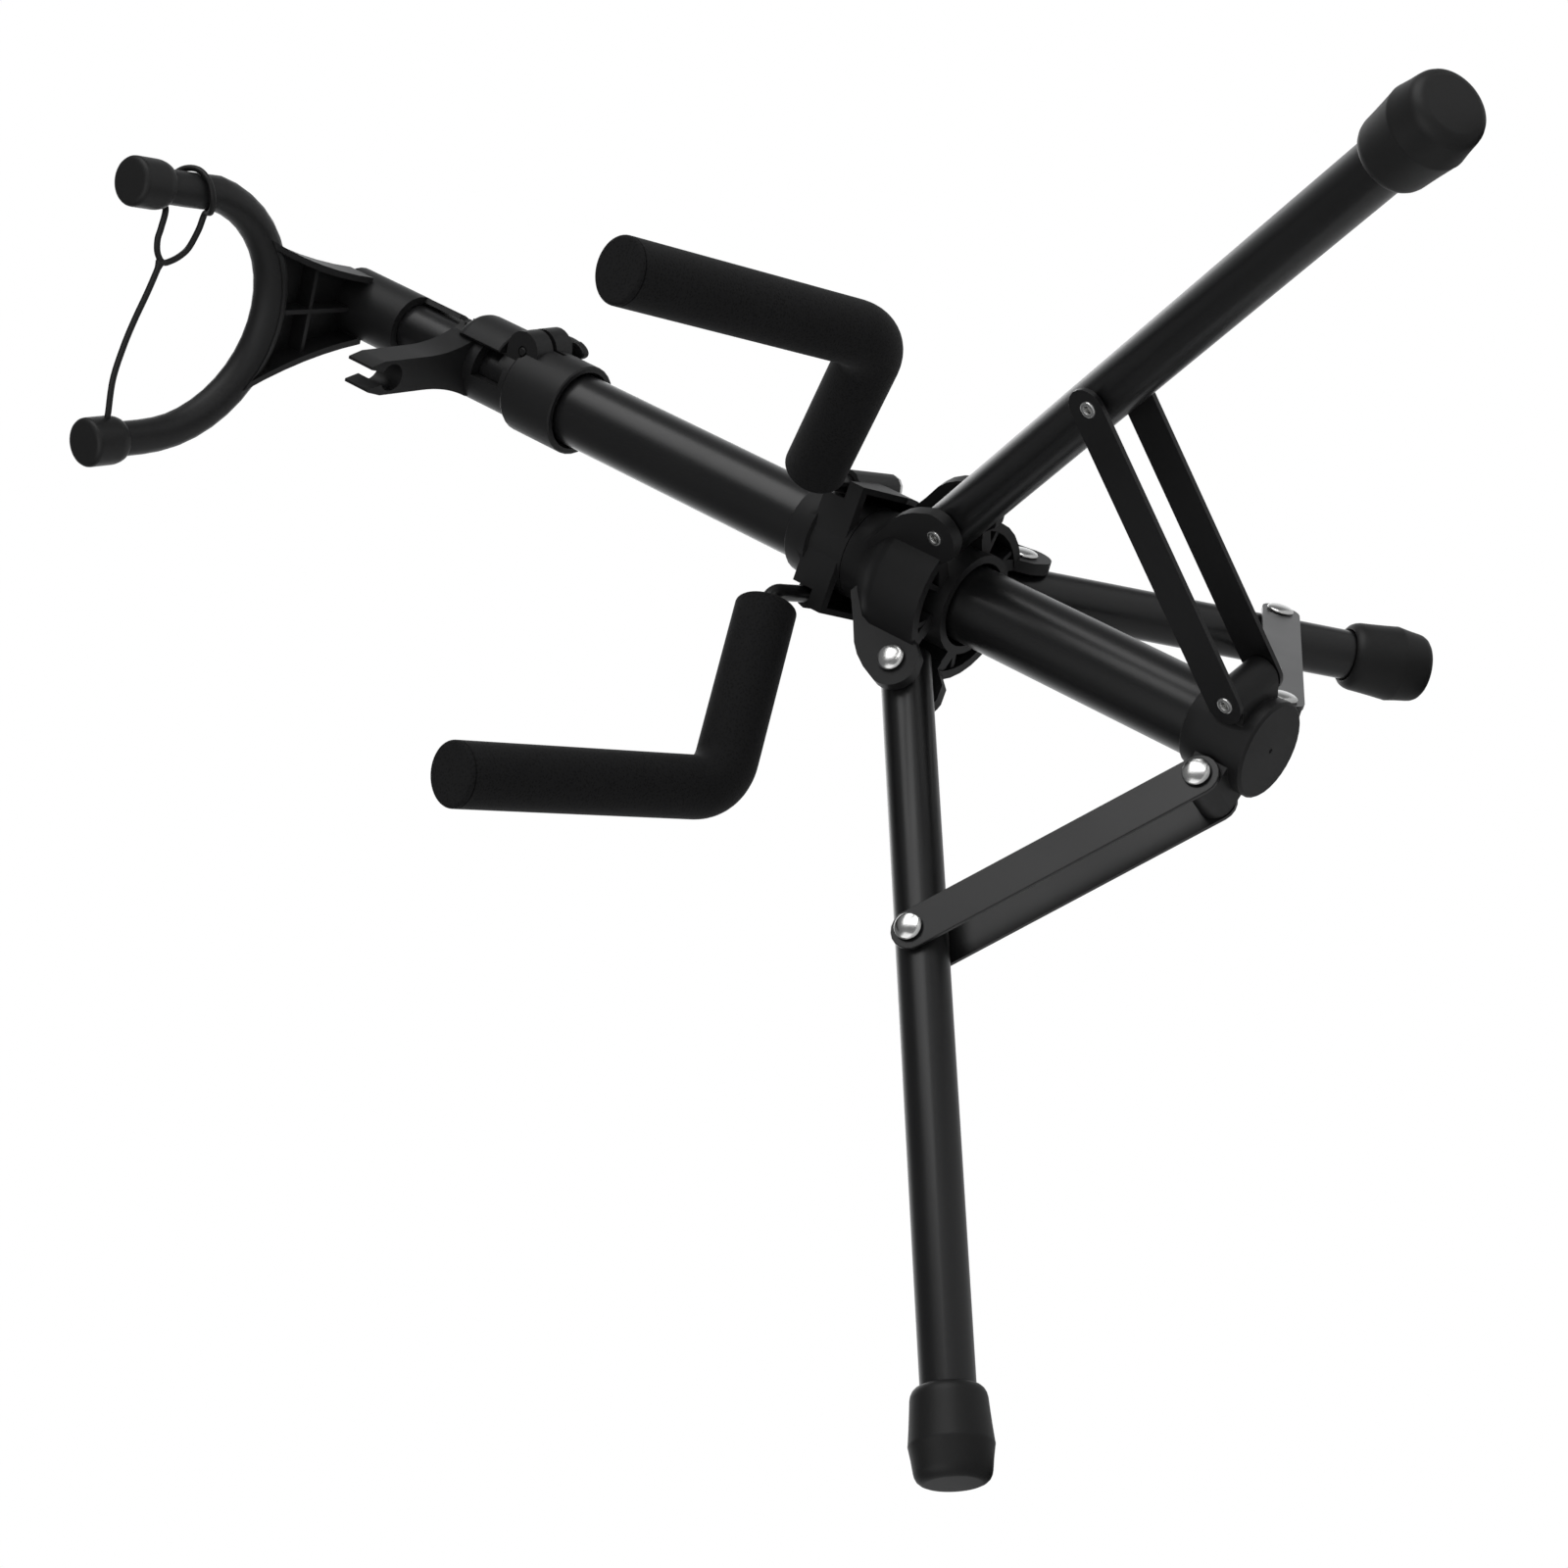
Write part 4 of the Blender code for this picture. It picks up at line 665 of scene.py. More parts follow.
def rounded_path(corners: list[Vector], radii: list[float], steps: int) -> list[Vector]:
    """A path of straight runs with a round bend at each inner corner.

    Args:
        corners: The path's corners.
        radii: One bend radius for each inner corner.
        steps: The number of steps in a bend.

    Returns:
        The path's points.
    """
    points = [corners[0]]
    for index in range(1, len(corners) - 1):
        corner = corners[index]
        back = (corners[index - 1] - corner).normalized()
        ahead = (corners[index + 1] - corner).normalized()
        half = back.angle(ahead) / 2
        centre = corner + (back + ahead).normalized() * (radii[index - 1] / math.sin(half))
        first = corner + back * (radii[index - 1] / math.tan(half)) - centre
        last = corner + ahead * (radii[index - 1] / math.tan(half)) - centre
        axis = first.cross(last).normalized()
        sweep = first.angle(last)
        for step in range(steps + 1):
            points.append(centre + Matrix.Rotation(sweep * step / steps, 3, axis) @ first)
    points.append(corners[-1])
    return points


def smooth_path(corners: list[Vector], steps: int, cyclic: bool = False) -> list[Vector]:
    """A smooth curve through chosen points.

    Args:
        corners: The points that it passes.
        steps: The number of steps between two of them.
        cyclic: True closes the curve.

    Returns:
        The curve's points.
    """
    count = len(corners)
    path = []
    for span in range(count if cyclic else count - 1):
        if cyclic:
            near = [corners[(span + offset) % count] for offset in (-1, 0, 1, 2)]
        else:
            near = [corners[min(max(span + offset, 0), count - 1)] for offset in (-1, 0, 1, 2)]
        for step in range(steps):
            t = step / steps
            blend = near[1] * 2 + (near[2] - near[0]) * t
            blend += (near[0] * 2 - near[1] * 5 + near[2] * 4 - near[3]) * t**2
            blend += (near[1] * 3 - near[0] - near[2] * 3 + near[3]) * t**3
            path.append(blend / 2)
    if not cyclic:
        path.append(corners[-1])
    return path


@dataclass
class TubeSet:
    """The two mast tubes, drawn with a fine wall and a rounded mouth."""

    bench: Workbench
    main_radius: float = 12.5 * MM
    main_wall: float = 1.2 * MM
    main_foot: float = 2.7 * MM
    main_top: float = 303.0 * MM
    inner_radius: float = 9.0 * MM
    inner_wall: float = 1.0 * MM
    inner_foot: float = 150.0 * MM
    inner_top: float = 395.6 * MM
    mouth_round: float = 0.25 * MM
    rim_angle: float = 60.0
    sides: int = 96

    def build(self) -> None:
        """Builds both tubes."""
        main = (self.main_foot, self.main_top)
        inner = (self.inner_foot, self.inner_top)
        self._tube("main_tube", self.main_radius, self.main_wall, main, Body.MAST)
        self._tube("upper_tube", self.inner_radius, self.inner_wall, inner, Body.YOKE)

    def _tube(self, node: str, radius: float, wall: float, ends: tuple[float, float], body: Body) -> None:
        """Builds one tube.

        Args:
            node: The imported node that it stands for.
            radius: Its outer radius.
            wall: Its wall.
            ends: The heights of its lower and its upper end.
            body: The body that it rides on.
        """
        foot, top = ends
        profile = [(radius, top), (radius, foot), (radius - wall, foot), (radius - wall, top)]
        piece = self.bench.lathe(f"{node}_wall", profile, self.sides, ring=True)
        self.bench.bevel(piece, self.mouth_round, self.rim_angle)
        self.bench.place(piece, self.bench.stand)
        self.bench.hand_over(piece, PAINTED_STEEL, body, node)


@dataclass
class LegSet:
    """Three leg tubes with their rubber feet, and the struts' bars."""

    bench: Workbench
    tube_radius: float = 8.1 * MM
    tube_wall: float = 1.1 * MM
    tube_edge: float = 0.3 * MM
    tube_sides: int = 64
    heel: float = 7.0 * MM
    rim_angle: float = 60.0
    foot_floor: float = 5.0 * MM
    foot_gap: float = 0.3 * MM
    foot_edge: float = 0.2 * MM
    foot_sides: int = 72
    foot_smooth: float = 28.0
    foot_angle: float = 24.0
    bar_edge: float = 0.32 * MM
    bar_angle: float = 50.0
    reach: dict[str, float] = field(
        default_factory=lambda: {"right": 255.3 * MM, "left": 255.3 * MM, "rear": 144.5 * MM}
    )
    foot_outline: tuple[tuple[float, float], ...] = (
        (7.9, 0.0), (8.7, 0.1), (9.6, 0.5), (10.5, 1.3), (11.05, 2.4), (11.3, 3.6), (11.75, 7.2),
        (12.3, 10.5), (12.4, 11.0), (12.3, 11.5), (11.85, 16.0), (11.5, 20.0), (11.2, 24.1), (10.9, 25.4),
        (10.4, 26.4), (9.7, 27.1), (9.0, 27.5),
    )

    def build(self) -> None:
        """Builds the legs, feet and bars."""
        for name in self.reach:
            frame_of_leg = self._leg_frame(name)
            self._leg(name, frame_of_leg)
            self._foot(name, frame_of_leg)
            for label in ("a", "b"):
                self._bar(name, label)

    def _leg_frame(self, name: str) -> Matrix:
        """The leg's frame, with Z along it from the hub's pivot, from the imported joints.

        Args:
            name: Which leg.

        Returns:
            The frame's matrix in the world.
        """
        across = self.bench.joint_axis(f"leg_{name}_fold")
        pivot = self.bench.joint_place("hub_fold" if name == "right" else f"leg_{name}_fold")
        low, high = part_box(f"leg_{name}")
        tip = (low + high) / 2 - pivot
        along = (tip - across * tip.dot(across)).normalized()
        depth = along.cross(across)
        matrix = Matrix((across, depth, along)).transposed().to_4x4()
        matrix.translation = pivot
        return matrix

    def _leg(self, name: str, place: Matrix) -> None:
        """Builds one leg tube.

        Args:
            name: Which leg.
            place: The leg's frame.
        """
        end = self.reach[name] - self.foot_floor - self.foot_gap
        radius, bore = self.tube_radius, self.tube_radius - self.tube_wall
        profile = [(radius, end), (radius, -self.heel), (bore, -self.heel), (bore, end)]
        piece = self.bench.lathe(f"leg_tube_{name}", profile, self.tube_sides, ring=True)
        self.bench.bevel(piece, self.tube_edge, self.rim_angle)
        self.bench.place(piece, place)
        self.bench.hand_over(piece, PAINTED_STEEL, f"leg_{name}", f"leg_{name}")

    def _foot(self, name: str, place: Matrix) -> None:
        """Builds one rubber foot, with its crease and its mouth.

        Args:
            name: Which leg.
            place: The leg's frame.
        """
        reach = self.reach[name]
        profile = [(radius * MM, reach - back * MM) for radius, back in self.foot_outline]
        gap = self.foot_gap
        seat = self.tube_radius + gap
        mouth = reach - self.foot_outline[-1][1] * MM
        profile += [(seat + gap, mouth), (seat, mouth + gap), (seat, reach - self.foot_floor)]
        piece = self.bench.lathe(f"rubber_foot_{name}", profile, self.foot_sides)
        self.bench.bevel(piece, self.foot_edge, self.foot_angle)
        self.bench.place(piece, place)
        body, node = f"leg_{name}", f"foot_{name}"
        self.bench.hand_over(piece, FOOT_RUBBER, body, node, smooth=self.foot_smooth)

    def _bar(self, name: str, label: str) -> None:
        """Rounds the rolled edges of one strut bar.

        Args:
            name: Which strut.
            label: Which of its two bars.
        """
        node = f"strut_bar_{name}_{label}"
        piece = self.bench.copy_of(node, f"flat_bar_{name}_{label}")
        self.bench.bevel(piece, self.bar_edge, self.bar_angle, 3)
        self.bench.hand_over(piece, PAINTED_STEEL, f"strut_{name}", node)


@dataclass
class RivetSet:
    """Nine semi-tubular rivets: a domed head, a shank and a rolled end."""

    bench: Workbench
    shank: float = 2.0 * MM
    head_radius: float = 4.4 * MM
    head_height: float = 1.5 * MM
    roll_radius: float = 2.7 * MM
    roll_height: float = 0.7 * MM
    hollow_radius: float = 1.1 * MM
    hollow_depth: float = 2.0 * MM
    hub_grip: float = 12.5 * MM
    bar_grip: float = 10.55 * MM
    gap: float = 0.3 * MM
    point: float = 0.02 * MM
    brim: float = 0.2 * MM
    dome_steps: int = 8
    roll_steps: int = 4
    sides: int = 40
    smooth: float = 40.0
    head_side: dict[str, int] = field(default_factory=lambda: {"right": 1, "left": 1, "rear": -1})

    def build(self) -> None:
        """Models one rivet of each grip and copies it to its places."""
        pattern = {"hub": self._pattern("hub", self.hub_grip)}
        pattern["bar"] = self._pattern("bar", self.bar_grip)
        for name in self.head_side:
            self._fit(pattern["hub"], f"rivet_hub_{name}", "hub", name)
            self._fit(pattern["bar"], f"rivet_base_{name}", "mast", name)
            self._fit(pattern["bar"], f"rivet_strut_{name}", f"strut_{name}", name)
        for piece in pattern.values():
            bpy.data.objects.remove(piece, do_unlink=True)

    def _pattern(self, kind: str, grip: float) -> bpy.types.Object:
        """Turns one rivet about Z, its head at +Z.

        Args:
            kind: The rivet's kind, for its name.
            grip: Half of what it holds together.

        Returns:
            The rivet, at the origin.
        """
        rim = grip + self.gap
        lip = self.brim / 2
        profile = []
        for step in range(self.dome_steps + 1):
            angle = math.radians(90.0 * step / self.dome_steps)
            radius = max(self.head_radius * math.sin(angle), self.point)
            rise = self.brim + (self.head_height - self.brim) * math.cos(angle)
            profile.append((radius, rim + rise))
        profile += [
            (self.head_radius, rim + lip), (self.head_radius - lip, rim), (self.shank, rim),
            (self.shank, -rim), (self.roll_radius, -rim),
        ]
        middle = (self.roll_radius + self.hollow_radius) / 2
        half = (self.roll_radius - self.hollow_radius) / 2
        for step in range(self.roll_steps + 1):
            angle = math.radians(180.0 * step / self.roll_steps)
            profile.append(
                (middle + half * math.cos(angle), -rim - lip - self.roll_height * math.sin(angle))
            )
        profile.append((self.hollow_radius, -rim - lip + self.hollow_depth))
        return self.bench.lathe(f"rivet_pattern_{kind}", profile, self.sides)

    def _fit(self, pattern: bpy.types.Object, node: str, body: str, leg: str) -> None:
        """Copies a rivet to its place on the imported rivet's axis.

        Args:
            pattern: The rivet to copy.
            node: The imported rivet.
            body: The body that it rides on.
            leg: The leg whose pivot it is.
        """
        across = self.bench.joint_axis(f"leg_{leg}_fold") * self.head_side[leg]
        low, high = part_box(node)
        overhang = (self.head_height - self.roll_height) / 2
        middle = (low + high) / 2 - across * overhang
        piece = pattern.copy()
        piece.data = pattern.data.copy()
        piece.name = f"{node}_turned"
        bpy.context.scene.collection.objects.link(piece)
        turn = across.to_track_quat("Z", "Y").to_matrix().to_4x4()
        self.bench.place(piece, Matrix.Translation(middle) @ turn)
        self.bench.hand_over(piece, ZINC_PLATE, body, node, smooth=self.smooth)


@dataclass
class Mouldings:
    """The moulded pieces, with the small radii that a mould leaves on their edges."""

    bench: Workbench
    edge: float = 0.45 * MM
    metal_edge: float = 0.15 * MM
    edge_angle: float = 36.0
    smooth: float = 40.0
    cut_spare: float = 5.0 * MM
    cut_reach: float = 20.0 * MM
    clamp_turn: float = math.radians(-7.5)
    hood_axis: float = 2.5 * MM
    hood_radius: float = 14.5 * MM
    hood_foot: float = 316.6 * MM
    hood_top: float = 338.2 * MM
    hood_round: float = 4.6 * MM
    hood_edge: float = 10.2 * MM
    hood_chamfer: float = 0.5 * MM
    hood_lip: float = 0.4 * MM
    hood_steps: int = 6
    slope_turn: float = math.radians(225.0)
    slope_side: float = 0.1 * MM
    slope_back: float = 10.0 * MM
    corner_low: tuple[float, float, float] = (13.05 * MM, -9.0 * MM, 316.7 * MM)
    corner_high: tuple[float, float, float] = (25.05 * MM, 9.0 * MM, 339.7 * MM)
    window_left: float = 5.0 * MM
    window_back: float = -4.5 * MM
    window_sill: float = 316.4 * MM
    window_head: float = 326.0 * MM
    ring_bore: float = 9.35 * MM
    screw_across: float = 13.6 * MM
    screw_height: float = 308.6 * MM
    screw_radius: float = 1.7 * MM
    screw_tip: float = -9.0 * MM
    screw_seat: float = 8.8 * MM
    screw_hub_radius: float = 4.1 * MM
    thumb_foot: float = 12.6 * MM
    thumb_reach: float = 8.3 * MM
    thumb_half: float = 3.4 * MM
    thumb_waist: float = 0.88
    waist_reach: float = 0.45
    thumb_layers: tuple[tuple[float, float], ...] = ((0.5, 1.05), (1.4, 1.02), (0.9, 0.98), (0.4, 0.93))
    thumb_rim: float = 0.7 * MM
    thumb_dish: float = 0.25 * MM
    thumb_edge: float = 0.35 * MM
    thumb_angle: float = 30.0

    def build(self) -> None:
        """Rounds each moulding and dresses it."""
        self._mould("base_collar", Body.MAST)
        self._mould("leg_hub", Body.HUB)
        self._mould("cradle_bracket", Body.HUB)
        self._clamp()
        self._screw()
        self._mould("guide_bush", Body.GUIDE)
        self._metal("clamp_nut", "clamp_nut_body", Body.MAST)
        self._metal("rod_clip_right", "push_on_clip_right", Body.ARM_RIGHT)
        self._metal("rod_clip_left", "push_on_clip_left", Body.ARM_LEFT)

    def _mould(self, node: str, body: Body) -> None:
        """Rounds and dresses one plastic moulding.

        Args:
            node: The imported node.
            body: The body that it rides on.
        """
        piece = self.bench.copy_of(node, f"{node}_moulding")
        self.bench.bevel(piece, self.edge, self.edge_angle)
        self.bench.hand_over(piece, MOULDED_PLASTIC, body, node, smooth=self.smooth)

    def _block(self, low: tuple[float, float, float], high: tuple[float, float, float]) -> bpy.types.Object:
        """A box for cutting.

        Args:
            low: Its lowest corner.
            high: Its highest corner.

        Returns:
            The box, with its place in its mesh.
        """
        self.bench.clear_selection()
        middle = [(a + b) / 2 for a, b in zip(low, high)]
        bpy.ops.mesh.primitive_cube_add(size=1.0, location=middle)
        box = bpy.context.object
        box.scale = [b - a for a, b in zip(low, high)]
        bpy.ops.object.transform_apply(location=True, rotation=True, scale=True)
        return box

    def _clamp(self) -> None:
        """Gives the clamp its closed round hood over the split ring."""
        bench = self.bench
        place = bench.stand @ Matrix.Rotation(self.clamp_turn, 4, "Z")
        piece = bench.copy_of("height_clamp", "height_clamp_moulding")
        window_low = (self.window_left, -self.cut_reach, self.window_sill)
        window_high = (self.hood_edge, self.window_back, self.window_head)
        for low, high in ((self.corner_low, self.corner_high), (window_low, window_high)):
            cutter = self._block(low, high)
            bench.place(cutter, place)
            bench.cut(piece, cutter)
        bench.bevel(piece, self.edge, self.edge_angle)
        hood = self._hood()
        bench.place(hood, place)
        bench.join(piece, hood)
        bench.hand_over(piece, MOULDED_PLASTIC, Body.MAST, "height_clamp", smooth=self.smooth)

    def _hood(self) -> bpy.types.Object:
        """Turns the hood, bores it, opens its front and slopes the edge of the opening.

        Returns:
            The hood, in the clamp's frame.
        """
        bench = self.bench
        radius, soft, reach = self.hood_radius, self.hood_round, self.cut_reach
        foot, top = self.hood_foot, self.hood_top
        low, high = foot - self.cut_spare, top + self.cut_spare
        profile = [(radius - self.hood_chamfer, foot), (radius, foot + self.hood_chamfer)]
        for step in range(self.hood_steps + 1):
            turn = math.radians(90.0 * step / self.hood_steps)
            profile.append((radius - soft * (1.0 - math.cos(turn)), top - soft * (1.0 - math.sin(turn))))
        hood = bench.lathe("hood", profile, 64)
        bench.place(hood, Matrix.Translation((self.hood_axis, 0.0, 0.0)))
        bench.cut(hood, bench.lathe("bore", [(self.ring_bore, low), (self.ring_bore, high)], 96))
        bench.cut(hood, self._block((-reach, -reach, low), (self.hood_edge, 0.0, high)))
        back = self.slope_back
        slope = self._block((self.slope_side, back, low), (reach, back + reach, high))
        bench.place(slope, Matrix.Rotation(self.slope_turn, 4, "Z"))
        bench.cut(hood, slope)
        bench.bevel(hood, self.hood_lip, self.edge_angle)
        return hood

    def _screw(self) -> None:
        """Turns the screw's stem and hub, joins its head and lays it across the clamp."""
        bench = self.bench
        hub, foot, seat = self.screw_hub_radius, self.thumb_foot, self.screw_seat
        radius, tip = self.screw_radius, self.screw_tip
        profile = [
            (hub - 0.4 * MM, foot + 0.6 * MM), (hub, foot), (hub, seat + 0.3 * MM),
            (hub - 0.3 * MM, seat), (radius, seat), (radius, tip + 0.6 * MM), (radius - 0.5 * MM, tip),
        ]
        piece = bench.lathe("wing_screw", profile, 48)
        bench.join(piece, self._thumb())
        piece.name = "wing_screw_moulding"
        turn = Matrix.Rotation(self.clamp_turn, 4, "Z")
        spot = Matrix.Translation((self.screw_across, 0.0, self.screw_height))
        lie = Matrix.Rotation(math.radians(-90.0), 4, "X")
        bench.place(piece, bench.stand @ (turn @ spot) @ lie)
        bench.hand_over(piece, MOULDED_PLASTIC, Body.SCREW, "clamp_screw", smooth=self.smooth)

    def _thumb(self) -> bpy.types.Object:
        """Shapes the screw's two-lobed head by extruding and resizing an oval.

        Returns:
            The head, on the screw's axis.
        """
        bench, foot = self.bench, self.thumb_foot
        bench.clear_selection()
        bpy.ops.mesh.primitive_circle_add(
            vertices=48, radius=1.0 * MM, fill_type="NGON", location=(0.0, 0.0, foot)
        )
        head = bpy.context.object
        bpy.ops.object.transform_apply(location=True, rotation=True, scale=True)
        bpy.ops.object.mode_set(mode="EDIT")
        bpy.ops.mesh.select_all(action="SELECT")
        bpy.ops.transform.resize(value=(self.thumb_half / MM, self.thumb_reach / MM, 1.0))
        bpy.ops.object.mode_set(mode="OBJECT")
        bench.pick(head, lambda spot: abs(spot.y) < self.thumb_reach * self.waist_reach)
        bpy.ops.transform.resize(value=(self.thumb_waist, 1.0, 1.0), center_override=(0.0, 0.0, foot))
        bpy.ops.mesh.select_all(action="SELECT")
        for rise, share in self.thumb_layers:
            lift = {"value": (0.0, 0.0, rise * MM)}
            bpy.ops.mesh.extrude_region_move(TRANSFORM_OT_translate=lift)
            bpy.ops.transform.resize(value=(share, share, 1.0))
        bpy.ops.mesh.inset(thickness=self.thumb_rim, depth=-self.thumb_dish)
        bench.close_up()
        bench.bevel(head, self.thumb_edge, self.thumb_angle, 3)
        return head

    def _metal(self, node: str, name: str, body: Body) -> None:
        """Breaks the edges of one small plated piece and dresses it.

        Args:
            node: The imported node.
            name: The piece's name.
            body: The body that it rides on.
        """
        piece = self.bench.copy_of(node, name)
        self.bench.bevel(piece, self.metal_edge, self.edge_angle)
        self.bench.hand_over(piece, ZINC_PLATE, body, node, smooth=self.smooth)


@dataclass
class CradleArm:
    """One bent rod with its foam sleeve."""

    bench: Workbench
    label: str
    side: int
    turn: float = math.radians(3.16)
    rod_radius: float = 2.75 * MM
    rod_bend_radius: float = 9.0 * MM
    rod_edge: float = 0.4 * MM
    rim_angle: float = 60.0
    arm_bend_radius: float = 17.0 * MM
    foam_radius: float = 9.9 * MM
    foam_start: float = 5.5 * MM
    foam_crush: float = 10.0 * MM
    foam_smooth: float = 60.0
    rim_round: float = 1.1 * MM
    rim_steps: int = 5
    seam_back: float = 1.5 * MM
    seam_depth: float = 0.65 * MM
    seam_shape: tuple[tuple[float, float], ...] = (
        (-0.35, 0.0), (-0.2, 0.3), (0.0, 1.0), (0.2, 0.3), (0.35, 0.0),
    )
    back: Vector = field(default_factory=lambda: Vector((18.9, 18.4, 167.3)) * MM)
    bend: Vector = field(default_factory=lambda: Vector((18.9, -29.3, 167.3)) * MM)
    corner: Vector = field(default_factory=lambda: Vector((72.8, -64.2, 137.1)) * MM)
    tip: Vector = field(default_factory=lambda: Vector((75.5, -167.4, 155.7)) * MM)

    def build(self) -> None:
        """Builds the rod and the sleeve."""
        place = self.bench.stand @ Matrix.Rotation(self.turn, 4, "Z")
        self._rod(place)
        self._sleeve(place)

    def _point(self, point: Vector) -> Vector:
        """The point on this arm's side."""
        return Vector((self.side * point.x, point.y, point.z))

    def _rod(self, place: Matrix) -> None:
        """Builds the bent steel rod.

        Args:
            place: The cradle's frame.
        """
        tip = self._point(self.tip)
        corner = self._point(self.corner)
        end = tip - (tip - corner).normalized() * self.foam_crush
        path = [self._point(self.back), self._point(self.bend), corner, end]
        path = rounded_path(path, [self.rod_bend_radius, self.arm_bend_radius], 20)
        piece = self.bench.sweep(f"bent_rod_{self.label}", path, self.rod_radius, 32)
        self.bench.bevel(piece, self.rod_edge, self.rim_angle)
        self.bench.place(piece, place)
        self.bench.hand_over(piece, PAINTED_STEEL, f"arm_{self.label}", f"arm_rod_{self.label}")

    def _sleeve(self, place: Matrix) -> None:
        """Builds the foam sleeve: its flat ends with soft rims, its bend and the seam round its end plug.

        Args:
            place: The cradle's frame.
        """
        bend = self._point(self.bend)
        corner = self._point(self.corner)
        tip = self._point(self.tip)
        run_in = (corner - bend).normalized()
        run_out = (tip - corner).normalized()
        start = bend + run_in * self.foam_start
        turns = [math.radians(90.0 * step / self.rim_steps) for step in range(self.rim_steps + 1)]
        soft = self.rim_round
        rim = [(soft * (1.0 - math.cos(turn)), soft * (1.0 - math.sin(turn))) for turn in turns]
        seam = [(self.seam_back + shift * MM, self.seam_depth * share) for shift, share in self.seam_shape]
        path = [start + run_in * back for back, _ in rim]
        drops = [drop for _, drop in rim]
        middle = rounded_path([path[-1], corner, tip], [self.arm_bend_radius], 24)[1:-1]
        path += middle
        drops += [0.0] * len(middle)
        closing = list(reversed(rim + seam))
        path += [tip - run_out * back for back, _ in closing]
        drops += [drop for _, drop in closing]
        tapers = [1.0 - drop / self.foam_radius for drop in drops]
        piece = self.bench.sweep(f"foam_sleeve_{self.label}", path, self.foam_radius, 48, tapers)
        self.bench.place(piece, place)
        body, node = f"arm_{self.label}", f"arm_foam_{self.label}"
        self.bench.hand_over(piece, SLEEVE_FOAM, body, node, smooth=self.foam_smooth)


